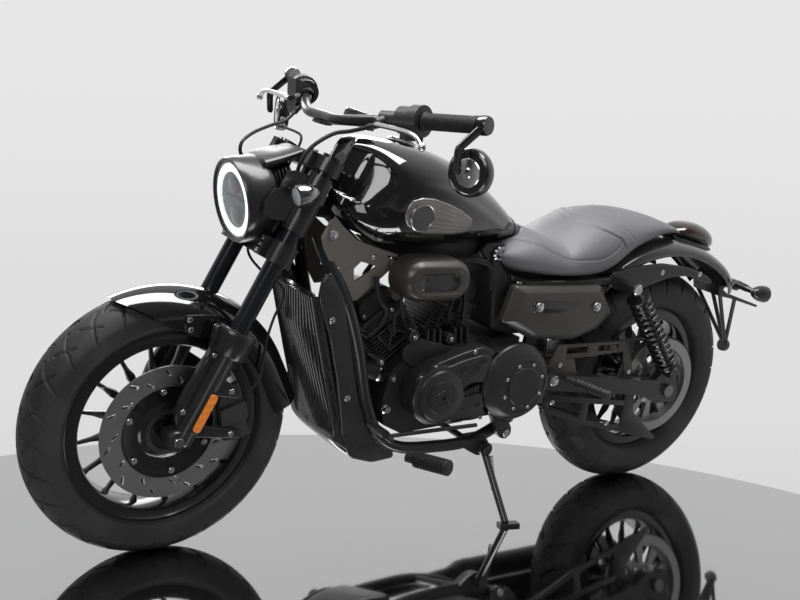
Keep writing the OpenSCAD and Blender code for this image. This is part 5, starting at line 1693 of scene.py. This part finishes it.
# Foot pegs: ribbed rubber on steel cores, with a folding clevis at the inner end.
def peg(a, b, r, count):
    """A rubber sleeve whose radius steps up and down in ribs along the peg."""
    a, b = np.asarray(a, float), np.asarray(b, float)
    way = (b - a) / np.linalg.norm(b - a)
    full = np.linalg.norm(b - a)
    start = full * 0.22
    pitch = (full - start - 6) / count
    profile = [(0, 0), (r * 0.62, 0), (r * 0.62, start - 3), (r * 0.9, start - 2), (r * 0.98, start)]
    for k in range(count):
        at = start + pitch * k
        profile += [
            (r * 0.86, at + 0.4), (r * 0.86, at + pitch * 0.3), (r, at + pitch * 0.36), (r, at + pitch * 0.96)
        ]
    profile += [(r * 0.98, full - 3), (r * 0.8, full - 0.4), (0, full)]
    return turned(profile, a, way, 28)


peg_rubber = rubber("peg_rubber", (0.020, 0.020, 0.021), 0.55, 1200.0, 0.0005)
piece(
    "foot_peg_rubbers",
    both(peg((884, 197, 236), (842, 306, 250), 19, 11), peg((386, 157, 376), (330, 262, 364), 12, 9)),
    "chassis", peg_rubber, ["foot_pegs"],
)


# Frame: round black tubes, the side stand's lug, pressed plates at the head and at the swingarm.
def rod(a, b, radius, sides=28):
    """A straight round bar between two points with its ends eased."""
    a, b = np.asarray(a, float), np.asarray(b, float)
    h = np.linalg.norm(b - a)
    e = min(1.2, radius * 0.2)
    return turned(
        [(0, 0), (radius - e, 0), (radius, e), (radius, h - e), (radius - e, h), (0, h)], a, b - a, sides
    )


cradle_line = spline([
    (1112, 22, 776), (1084, 60, 684), (1042, 100, 590), (1002, 112, 478), (964, 112, 353), (917, 112, 262),
    (850, 112, 222), (740, 112, 212), (650, 112, 214), (575, 102, 230), (506, 95.8, 262),
], 10)[6:]
stand_lug = slab(
    soften(
        [(650, 226), (668, 206), (640, 190), (620, 180), (596, 178), (584, 192), (586, 212), (600, 228)], 5
    ),
    88, 127.5, 1.5
)
piece(
    "frame_cradle_tubes",
    both(tube(cradle_line, 15, 28, (0, 1, 0.2))) + [
        rod((640, -100, 214), (640, 100, 214), 9), stand_lug, rod((604, 118, 200), (604, 145, 200), 8),
        rod((604, 144.5, 200), (604, 150, 200), 13)
    ],
    "chassis", satin_black, ["frame_cradle"],
)
rear_line = spline(
    [
        (606, 14, 686), (578, 70, 642), (545, 103, 622), (480, 104, 617), (400, 104, 616), (330, 106, 618),
        (255.6, 106.4, 620)
    ],
    9
)
pivot_plate = slab(
    soften(
        [
            (499, 298), (516, 252), (470, 246), (398, 330), (388, 372), (400, 430), (416, 590), (422, 608),
            (452, 608), (462, 590), (480, 440), (484, 372), (497, 330)
        ],
        8
    ),
    66, 80, 2.5
)
piece(
    "rear_frame_tubes",
    both(tube(rear_line, 11, 24, (0, 0.2, 1)), pivot_plate) + [rod((436, -104, 600), (436, 104, 600), 9)],
    "chassis", satin_black, ["frame_rear"],
)
piece(
    "frame_screws",
    both(
        *[
            bolt(p, left, r, h)
            for p, r, h in (
                ((1061, 79.6, 656), 6.5, 4), ((968, 79.6, 684), 6.5, 4), ((920, 79.6, 680), 5.5, 4),
                ((425, 149.2, 372), 14, 6)
            )
        ],
        turned(
            [(0, 79), (12, 79), (12.5, 81), (11, 84.5), (5, 85), (4.5, 82), (0, 82)], (1082, 0, 735), left, 32
        )
    ),
    "chassis", zinc,
)
frame_bronze = paint(
    "frame_bronze_grey", (0.17, 0.158, 0.142), 0.36, metallic=0.4, grain=700.0, depth=0.0002, wear=0.15
)
w_turn = np.arange(301) / 300
stand_coil = np.array([594.0, 151, 186]) + w_turn[:, None] * np.array([1.0, 32, -78]) + 6.0 * (
    np.cos(w_turn * 2 * np.pi * 20)[:, None] * np.array((1.0, 0, 0))
    + np.sin(w_turn * 2 * np.pi * 20)[:, None] * np.array((0, 0.92, 0.38))
)
piece("stand_spring", [tube(stand_coil, 1.2, 6, (0, 1.0, -2.4))], "stand", enamel)

# Radiator shroud: a tall black cowl, its face cut into upright wavy ribs, with smooth side
# panels that run down to a chin under the engine.
def face_out(y, z):
    """How far forward the ribbed face stands: a tilted plane and a bow 20 (1 - (y/104)^2) that fades."""
    return 1014 + (z - 262) * math.tan(math.radians(17.3)) + 4 + 20 * (1 - (y / 104) ** 2) * np.clip(
        (640 - z) / 120, 0.3, 1
    )


def shroud_rib(y, width):
    """A rib down the face, waved a little across: y = y0 + 3 sin(z / 34)."""
    z = np.linspace(268, 602, 44)
    swing = y + 3.0 * np.sin(z / 34 + abs(y) / 18) * (abs(y) < 96)
    core = np.stack((face_out(np.full(44, float(y)), z), swing, z), 1)
    a = np.arange(8) * np.pi / 4
    ring = core[:, None] + np.stack((7.0 * np.cos(a), width * np.sin(a), -1.2 * np.cos(a)), -1)[None]
    return lattice(ring, (False, True), True)


panel = [
    (1118, 600), (1114, 640), (1094, 662), (1056, 606), (1020, 500), (986, 370), (950, 286), (900, 234),
    (864, 212), (862, 196), (925, 190), (984, 208), (1014, 262), (1024, 312), (1048, 410), (1078, 506)
]
chin_rows = spline(
    [
        (1036, 104, 264, 300, 5), (1030, 107, 246, 300, 5), (1008, 110, 224, 300, 5), (975, 112, 203, 284, 5),
        (925, 112, 190, 238, 5), (880, 111, 189.5, 214, 5), (864, 109, 191, 207, 5)
    ],
    6
)
by, bz = np.meshgrid(np.linspace(-106, 106, 24), np.linspace(266, 604, 24), indexing="ij")
bow = np.stack((face_out(by, bz) - 3, by, bz), -1)
flat_back = np.stack((1014 + (bz - 262) * math.tan(math.radians(17.3)) - 7, by, bz), -1)
back_face = lattice(np.concatenate((bow, flat_back[:, ::-1]), 1), (False, True), True)
cowl_black = paint("cowl_black", (0.022, 0.022, 0.023), 0.27, coat=0.35, grain=900.0, depth=0.00015)
piece(
    "radiator_cowl",
    both(slab(soften(panel, 12, 6), 103.5, 113.5, 4.5, 2, 6)) + [
        lattice(squarish(chin_rows, 5, 64), (False, True), True), back_face
    ]
    + [shroud_rib(y, 2.6) for y in np.arange(-98, 99, 9.8)],
    "chassis", cowl_black, ["radiator_shroud"], 42,
)
piece(
    "shroud_screws", both(*[bolt((x, 113, z), left, 8, 4.5) for x, z in ((1079, 550), (1014, 361))]),
    "chassis", zinc
)

# Engine covers on the left: a cast case with the alternator's round boss, the belt pulley's big
# domed cover, breather holes, and bright bolts round them.
engine_black = paint("engine_black", (0.030, 0.030, 0.031), 0.34, metallic=0.35, grain=800.0, depth=0.00025)
engine_dark = paint(
    "engine_dark_casting", (0.018, 0.018, 0.019), 0.42, metallic=0.2, grain=300.0, depth=0.0006
)
PULLEY = np.array((553.0, 378.0))


def hug(outline, radius=101.2):
    """The outline with points every few millimetres, moved out of the circle round the pulley's cover."""
    p = np.asarray(outline, float)
    q = np.roll(p, -1, 0)
    t = np.arange(12)[None, :, None] / 12
    dense = (p[:, None] * (1 - t) + q[:, None] * t).reshape(-1, 2)
    away = dense - PULLEY
    far = np.linalg.norm(away, axis=1, keepdims=True)
    return PULLEY + away * np.maximum(radius / far, 1)


case_line = hug(
    soften(
        [
            (856, 372), (846, 412), (806, 436), (720, 462), (664, 474), (640, 470), (604, 440), (604, 316),
            (640, 288), (660, 284), (800, 286), (846, 320)
        ],
        14, 5
    )
)
band_line = hug(
    soften(
        [
            (790, 428), (720, 448), (668, 458), (640, 450), (636, 400), (650, 384), (700, 386), (740, 352),
            (790, 380)
        ],
        12, 5
    ),
    101.4
)
low_band = hug(
    soften(
        [(792, 318), (760, 296), (668, 296), (640, 320), (640, 352), (660, 356), (720, 352), (760, 330)], 10,
        5
    ),
    101.4
)
boss = [
    (60, 98), (76, 98), (76, 147), (75, 151), (71, 154.6), (64, 156), (62.5, 158), (61, 162), (57, 164.2),
    (42, 164.2), (40.6, 165), (40, 168), (37, 168.6), (22, 168.6), (20.8, 167.4), (19, 167.4), (18, 168.8),
    (6, 168.8), (5, 165), (0, 165)
]
stator = turned([(0, 98)] + boss, (781, 0, 362), left, 128)
piece(
    "left_engine_case",
    [
        slab(case_line, 96, 144, 5, 0.5, 5), slab(band_line, 140, 156, 4, 0.5, 5),
        slab(low_band, 140, 153, 3.5, 0.5, 5), stator
    ],
    "chassis", engine_black, ["left_engine_cover"], 32,
)


def ports(at, y, radius):
    """A raised ring round a bore, which a separate near-black disc fills as painted shade."""
    return [
        turned(
            [
                (radius, y - 2), (radius + 2.4, y - 2), (radius + 2, y + 0.6), (radius + 0.6, y + 0.8),
                (radius, y)
            ],
            (x, 0, z), left, 32, True
        )
        for x, z in at
    ]


piece(
    "case_port_rings",
    ports(((722, 424), (684, 424), (669, 441)), 156.4, 8.5) + ports(((704, 366), (664, 330)), 153.4, 7),
    "chassis", engine_black
)
# Near-black discs in the breather holes: painted shade for the depth of the holes.
bore_shade_black = paint("bore_shade_black", (0.004, 0.004, 0.004), 0.7, grain=300.0)
piece(
    "case_port_bore_shade",
    [
        turned([(0, 150), (8.6, 150), (8.6, 156.25), (0, 156.25)], (x, 0, z), left, 32)
        for x, z in ((722, 424), (684, 424), (669, 441))
    ]
    + [
        turned([(0, 146), (7.1, 146), (7.1, 153.2), (0, 153.2)], (x, 0, z), left, 32)
        for x, z in ((704, 366), (664, 330))
    ],
    "chassis", bore_shade_black,
)
eccentric = [
    (553, 378, 97, 134), (553, 378, 100, 134.5), (553, 378, 100, 148), (552, 377.5, 98.6, 152),
    (548, 375.5, 91, 159.5), (543, 373, 81, 166), (540, 371.5, 73, 168.4), (538.5, 371, 68, 168.6),
    (538, 370.5, 66.6, 166.8), (538, 370.5, 52, 166.8), (538, 370.5, 50.6, 167.4), (538, 370.5, 49.4, 170.6),
    (538, 370.5, 47, 171.8), (538, 370.5, 0.1, 171.9)
]
a = np.arange(144) * 2 * np.pi / 144
dome_points = np.stack(
    [
        np.stack((cx + r * np.cos(a), np.full(144, float(y)), cz + r * np.sin(a)), 1)
        for cx, cz, r, y in eccentric
    ]
)
wall_arc = np.radians(np.linspace(-84, 84, 60))
wall_section = np.array([(90, 80), (100, 80), (100, 135), (90, 135)])
wall_points = np.stack(
    [
        np.stack((553 + r * np.cos(wall_arc), np.full(60, float(y)), 378 + r * np.sin(wall_arc)), 1)
        for r, y in wall_section
    ]
)
pulley_lug = slab(
    soften([(572, 300), (600, 292), (566, 226), (544, 220), (528, 232), (530, 252)], 9), 118, 140, 3
)
wall_shell = lattice(np.moveaxis(wall_points, 0, 1), (False, True), True)
piece(
    "pulley_cover_dome", [lattice(dome_points, (False, True), True), wall_shell, pulley_lug], "chassis",
    engine_black, ["pulley_cover"], 26,
)
piece(
    "engine_bolts",
    [bolt(p, left, 4.6, 3.6) for p in around((538, 0, 370.5), 59.4, 166.6, 8, math.radians(22))]
    + [
        bolt((x, y, z), left, r, 5)
        for x, y, z, r in (
            (838, 143.6, 408, 6), (800, 143.6, 431, 6), (690, 143.6, 463, 6), (833, 143.6, 322, 5.5),
            (740, 143.6, 291, 5.5), (640, 140, 290, 5.5), (548, 139.6, 238, 10), (905, 127.6, 405, 6),
            (944, 127, 448, 6)
        )
    ]
    + [bolt((x, 111.6, z), left, r, 5) for x, z, r in ((848, 498, 6.5), (742, 488, 6), (660, 460, 5.5))],
    "chassis", zinc,
)
piece(
    "crankcase_lugs",
    [rod((x, 80, z), (x, y, z), 10) for x, y, z in ((905, 128, 405), (944, 127.4, 448))]
    + [
        slab(
            soften(
                [
                    (868, 470), (846, 488), (820, 490), (760, 474), (700, 462), (640, 450), (640, 430),
                    (840, 420), (872, 450)
                ],
                8
            ),
            90, 106, 3
        )
    ]
    + [rod((x, 88, z), (x, 112, z), r) for x, z, r in ((848, 498, 15), (742, 488, 13), (660, 460, 12))]
    + [
        slab([(x - 3, 470), (x + 3, 470), (x + 9, 512), (x + 3, 512)], 70, 104, 1)
        for x in (800, 782, 764, 720, 702, 684)
    ],
    "chassis", engine_dark,
)
piece(
    "clutch_cover_drum",
    [
        turned(
            [
                (0, -168), (30, -168), (32, -166), (62, -166), (66, -164), (84, -158), (89, -152), (90, -146),
                (90, -96.4), (0, -96.4)
            ],
            (690, 0, 372), left, 112
        ),
        turned(
            [(0, -144), (40, -144), (44, -142), (56, -140), (61, -136), (62, -130), (62, -96.4), (0, -96.4)],
            (810, 0, 366), left, 80
        )
    ],
    "chassis", engine_black, ["clutch_cover"], 30,
)
piece(
    "clutch_bolts",
    [
        bolt(p, (0, -1, 0), 4.6, 4) for p in around((690, 0, 372), 73, -161.4, 8, 0.2)
    ] + [bolt(p, (0, -1, 0), 4.2, 4) for p in around((810, 0, 366), 50, -140.4, 6, 0.5)],
    "chassis", zinc,
)


# Cylinders: a narrow vee of finned barrels with square heads and rounded covers, set on the
# crankcase at 37 degrees forward and 23 back.
CRANK_X, CRANK_Z = 785, 372


def on_cylinder(lean, *shells):
    """Shells drawn with the crankshaft at the origin and z up the bore, leaned over in the side view."""
    c, s = math.cos(math.radians(lean)), math.sin(math.radians(lean))
    moved = []
    for points, faces in shells:
        x, y, z = points.T
        moved.append((np.stack((CRANK_X + x * c + z * s, y, CRANK_Z - x * s + z * c), 1), faces))
    return moved


def block(x0, x1, z0, z1, half_y, reach=4, edge=2):
    """A rounded block lying across the machine."""
    return slab(soften([(x0, z0), (x1, z0), (x1, z1), (x0, z1)], reach), -half_y, half_y, edge, edge)


def cylinder_parts():
    """Barrel, fins, head, cover, a side rib with crossed webs, and a bolted boss each side of the head."""
    parts = [block(-52, 52, 96.3, 186, 60)]
    parts += [block(-60, 60, 110 + 9.4 * k, 113.6 + 9.4 * k, 68, 1.5, 1.2) for k in range(8)]
    parts += [
        block(-60, 60, 184, 196, 66, 4, 3), block(-57, 57, 195, 214, 62, 4, 2),
        block(-60, 60, 213, 224, 66, 4, 3)
    ]
    parts += [block(-54, 54, 199 + 5 * k, 201.4 + 5 * k, 65, 1, 0.8) for k in range(3)]
    parts += [
        slab(
            soften([(-50, 223), (50, 223), (50, 256), (30, 276), (-30, 276), (-50, 256)], 12), -60, 60, 6, 6,
            6
        )
    ]
    for s in (-1, 1):
        frame_line = [(-30, 126), (30, 126), (38, 180), (-38, 180)]
        parts += [
            tube([(a[0], s * 69.4, a[1]), (b[0], s * 69.4, b[1])], 3.4, 10, (0, 1, 0.1))
            for a, b in zip(frame_line, frame_line[1:] + frame_line[:1])
        ]
        parts += [
            tube([(a[0], s * 69.0, a[1]), (b[0], s * 69.0, b[1])], 2.8, 10, (0, 1, 0.1))
            for a, b in (((-30, 128), (8, 178)), ((30, 128), (-8, 178)))
        ]
        plate = slab(soften([(-40, 186), (-4, 186), (-4, 222), (-40, 222)], 5), 62, 71, 2.5)
        parts.append((plate[0] * (1, s, 1), plate[1]))
    return parts


piece(
    "finned_cylinders", on_cylinder(37, *cylinder_parts()) + on_cylinder(-23, *cylinder_parts()), "chassis",
    engine_black, ["cylinders"], 32
)
piece(
    "head_bolts",
    [
        s for lean in (37, -23)
        for s in on_cylinder(
            lean,
            *both(
                bolt((-22, 70.6, 194), left, 5.2, 4), bolt((-22, 70.6, 213), left, 5.2, 4),
                bolt((44, 64, 244), left, 4.6, 4)
            )
        )
    ],
    "chassis", zinc,
)
piece(
    "plug_leads",
    [
        tube(spline([(870, 60, 590), (884, 84, 566), (900, 92, 540), (890, 86, 500)], 8), 5, 14, (0, 0.3, 1)),
        tube(spline([(742, 66, 610), (735, 84, 580), (742, 88, 548), (735, 82, 520)], 8), 5, 14, (0, 0.3, 1)),
        tube(spline([(960, 88, 640), (950, 94, 590), (925, 92, 560), (932, 84, 520)], 8), 6, 14, (0, 0.3, 1))
    ],
    "chassis", sheath,
)

# Electrics and the airbox: dull black boxes, looms and hoses that fill the frame under the tank.
airbox = slab(
    soften(
        [
            (1000, 740), (960, 700), (925, 652), (900, 640), (800, 640), (700, 660), (640, 690), (600, 712),
            (760, 730), (900, 752)
        ],
        14
    ),
    -58, 58, 8, 8
)
battery_box = slab(
    soften(
        [
            (640, 700), (628, 640), (618, 560), (612, 500), (560, 484), (440, 484), (392, 520), (380, 606),
            (470, 606), (560, 620), (600, 680)
        ],
        12
    ),
    -96, 96, 8, 8
)
rear_tray = slab(
    soften(
        [(500, 640), (480, 606), (390, 606), (300, 620), (240, 640), (180, 690), (300, 680), (420, 640)], 10
    ),
    -84, 84, 6, 6
)
dull_black = paint("dull_black_plastic", (0.012, 0.012, 0.0125), 0.55, grain=300.0, depth=0.0006)
piece("frame_boxes", [airbox, battery_box, rear_tray], "chassis", dull_black)
piece(
    "wiring_looms",
    both(
        tube(
            spline(
                [
                    (1010, 66, 738), (960, 70, 700), (900, 74, 676), (800, 76, 664), (700, 74, 672),
                    (636, 84, 660), (630, 96, 600)
                ],
                7
            ),
            8, 16, (0, 1, 0.2)
        ),
        tube(spline([(880, 66, 668), (868, 78, 630), (884, 84, 590), (870, 84, 540)], 7), 6, 14, (0, 0.3, 1)),
        tube(spline([(724, 66, 668), (712, 84, 636), (700, 88, 590), (694, 86, 530)], 7), 7, 14, (0, 0.3, 1))
    ),
    "chassis", sheath,
)
piece(
    "key_lock_plate",
    both(
        slab(soften([(650, 716), (596, 716), (580, 676), (600, 656), (640, 664), (668, 700)], 8), 60, 84, 3)
    ),
    "chassis", satin_black
)
starter_way = np.array((92.0, 0.0, 32.0)) / math.hypot(92, 32)
piece(
    "starter_rings",
    [
        turned([(26, 6), (28.4, 6), (28.4, 14), (26, 14)], (906, 60, 397), starter_way, 48, True),
        turned([(0, 0), (13, 0), (13, 10), (9, 12), (9, 20), (0, 20)], (899, 96, 322), left, 6)
    ],
    "chassis", polished,
)

# Air cleaner: a smooth oval drum in bronze grey with a dished oval panel, left plain.
DRUM_MIDDLE = (838, 645)


def oval(half, radius, count=28):
    """Two half circles a straight apart, about the drum's middle."""
    a = np.linspace(-np.pi / 2, np.pi / 2, count)
    right_half = np.stack((half + radius * np.cos(a), radius * np.sin(a)), 1)
    return np.concatenate((right_half, -right_half)) + DRUM_MIDDLE


rows = [
    (44, 48, 90), (44, 50, 92), (44, 50, 142), (44.5, 49, 149), (45, 46, 155), (46, 42, 160), (46, 38, 164.6),
    (46, 35, 167.4), (46, 33, 168), (40, 28.5, 168), (40, 27.5, 167), (36, 21, 166.6), (36, 20.4, 164.4),
    (36, 19.8, 164.2), (20, 8, 164.2)
]
drum = lattice(
    np.stack([np.stack((oval(h, r)[:, 0], np.full(56, float(y)), oval(h, r)[:, 1]), 1) for h, r, y in rows]),
    (False, True), True
)
duct = slab(soften([(800, 600), (826, 600), (834, 668), (792, 668)], 6), 28, 91, 3)
piece(
    "air_cleaner_drum",
    [drum, duct, rod((900, 60.4, 596), (900, 91, 596), 13), rod((918, 80.4, 668), (918, 91, 668), 10)],
    "chassis", bronze, ["air_cleaner"], 30,
)
piece(
    "air_cleaner_panel",
    [
        lattice(
            np.stack(
                [
                    np.stack((oval(h, r)[:, 0], np.full(56, float(y)), oval(h, r)[:, 1]), 1)
                    for h, r, y in (
                        (36, 20, 163), (36, 20.2, 165.2), (36, 18.6, 166.2), (35.6, 17.6, 165.4),
                        (30, 6, 165.4)
                    )
                ]
            ),
            (False, True), True
        )
    ],
    "chassis", paint_gloss,
)

# Exhaust: two black pipes down the right side into straight mufflers with rolled ends.
pipe_black = paint(
    "heat_black", (0.020, 0.020, 0.021), 0.36, metallic=0.3, grain=500.0, depth=0.0002, wear=0.15
)
front_pipe = spline(
    [
        (946, -40, 500), (974, -54, 470), (972, -76, 442), (944, -110, 420), (926, -148, 386),
        (902, -160, 332), (846, -164, 276), (760, -166, 254), (640, -172, 246), (476, -190, 240)
    ],
    9
)
rear_pipe = spline(
    [
        (656, -40, 542), (634, -78, 532), (626, -118, 512), (606, -154, 478), (584, -174, 430),
        (556, -186, 372), (512, -191, 328), (478, -192, 314), (441, -192, 312)
    ],
    9
)
piece(
    "exhaust_pipes", [tube(front_pipe[7:], 19, 32, (0, 1, 0.3)), tube(rear_pipe[7:], 19, 32, (0, 1, 0.3))],
    "chassis", pipe_black, ["exhaust_headers"]
)


def muffler(a, b):
    """A straight drum: cone, barrel with two bands, rolled end and a dark outlet pipe inside."""
    a, b = np.array(a, float), np.array(b, float)
    h = np.linalg.norm(b - a)
    body = [
        (0, 0.5), (20, 0.5), (21, 4), (28, 24), (33, 36), (34, 42), (34.4, 60), (35.4, 61), (35.4, 70),
        (34.5, 71), (35, h - 50), (36, h - 49), (36, h - 38), (35, h - 37), (35, h - 26), (33.6, h - 10),
        (30, h - 1), (27, h), (23, h - 1), (22, h - 4), (22, h - 60), (0, h - 60)
    ]
    return turned(body, a, b - a, 64)


piece(
    "muffler_drums",
    [muffler((474, -190, 240), (-60, -196, 244)), muffler((440, -192, 312), (-10, -196, 316))], "chassis",
    pipe_black, ["mufflers"], 34
)
piece(
    "exhaust_clamps",
    [
        turned(
            [(19.2, -9), (22, -9), (22.6, -7), (22.6, 7), (22, 9), (19.2, 9)], pipe[-6], pipe[-3] - pipe[-9],
            40, True
        )
        for pipe in (front_pipe, rear_pipe)
    ],
    "chassis", zinc,
)


# Every node of the frame that keeps its own shape gets its finish here.
belt_rubber = rubber("belt_rubber", (0.016, 0.016, 0.017), 0.6, 1100.0, 0.0003)
pulley_grey = paint("pulley_grey", (0.30, 0.30, 0.305), 0.36, metallic=0.9, grain=600.0)
dark_steel = paint("dark_steel", (0.22, 0.22, 0.225), 0.3, metallic=1.0, grain=400.0, wear=0.2)
radiator_black = paint("radiator_black", (0.012, 0.012, 0.012), 0.5, grain=200.0, depth=0.001)
for finish, names in (
    (
        satin_black,
        "frame_backbone triple_clamps fork_covers headlight_bracket swingarm shocks rear_caliper "
        "foot_levers plate_bracket side_stand"
    ),
    (matte_black, "front_caliper controls instrument"),
    (engine_dark, "crankcase"),
    (radiator_black, "radiator"),
    (frame_bronze, "frame_side_plates"),
    (belt_rubber, "drive_belt"),
    (pulley_grey, "rear_pulley"),
    (dark_steel, "front_axle rear_axle"),
):
    for name in names.split():
        nodes[name].data.materials.clear()
        nodes[name].data.materials.append(finish)
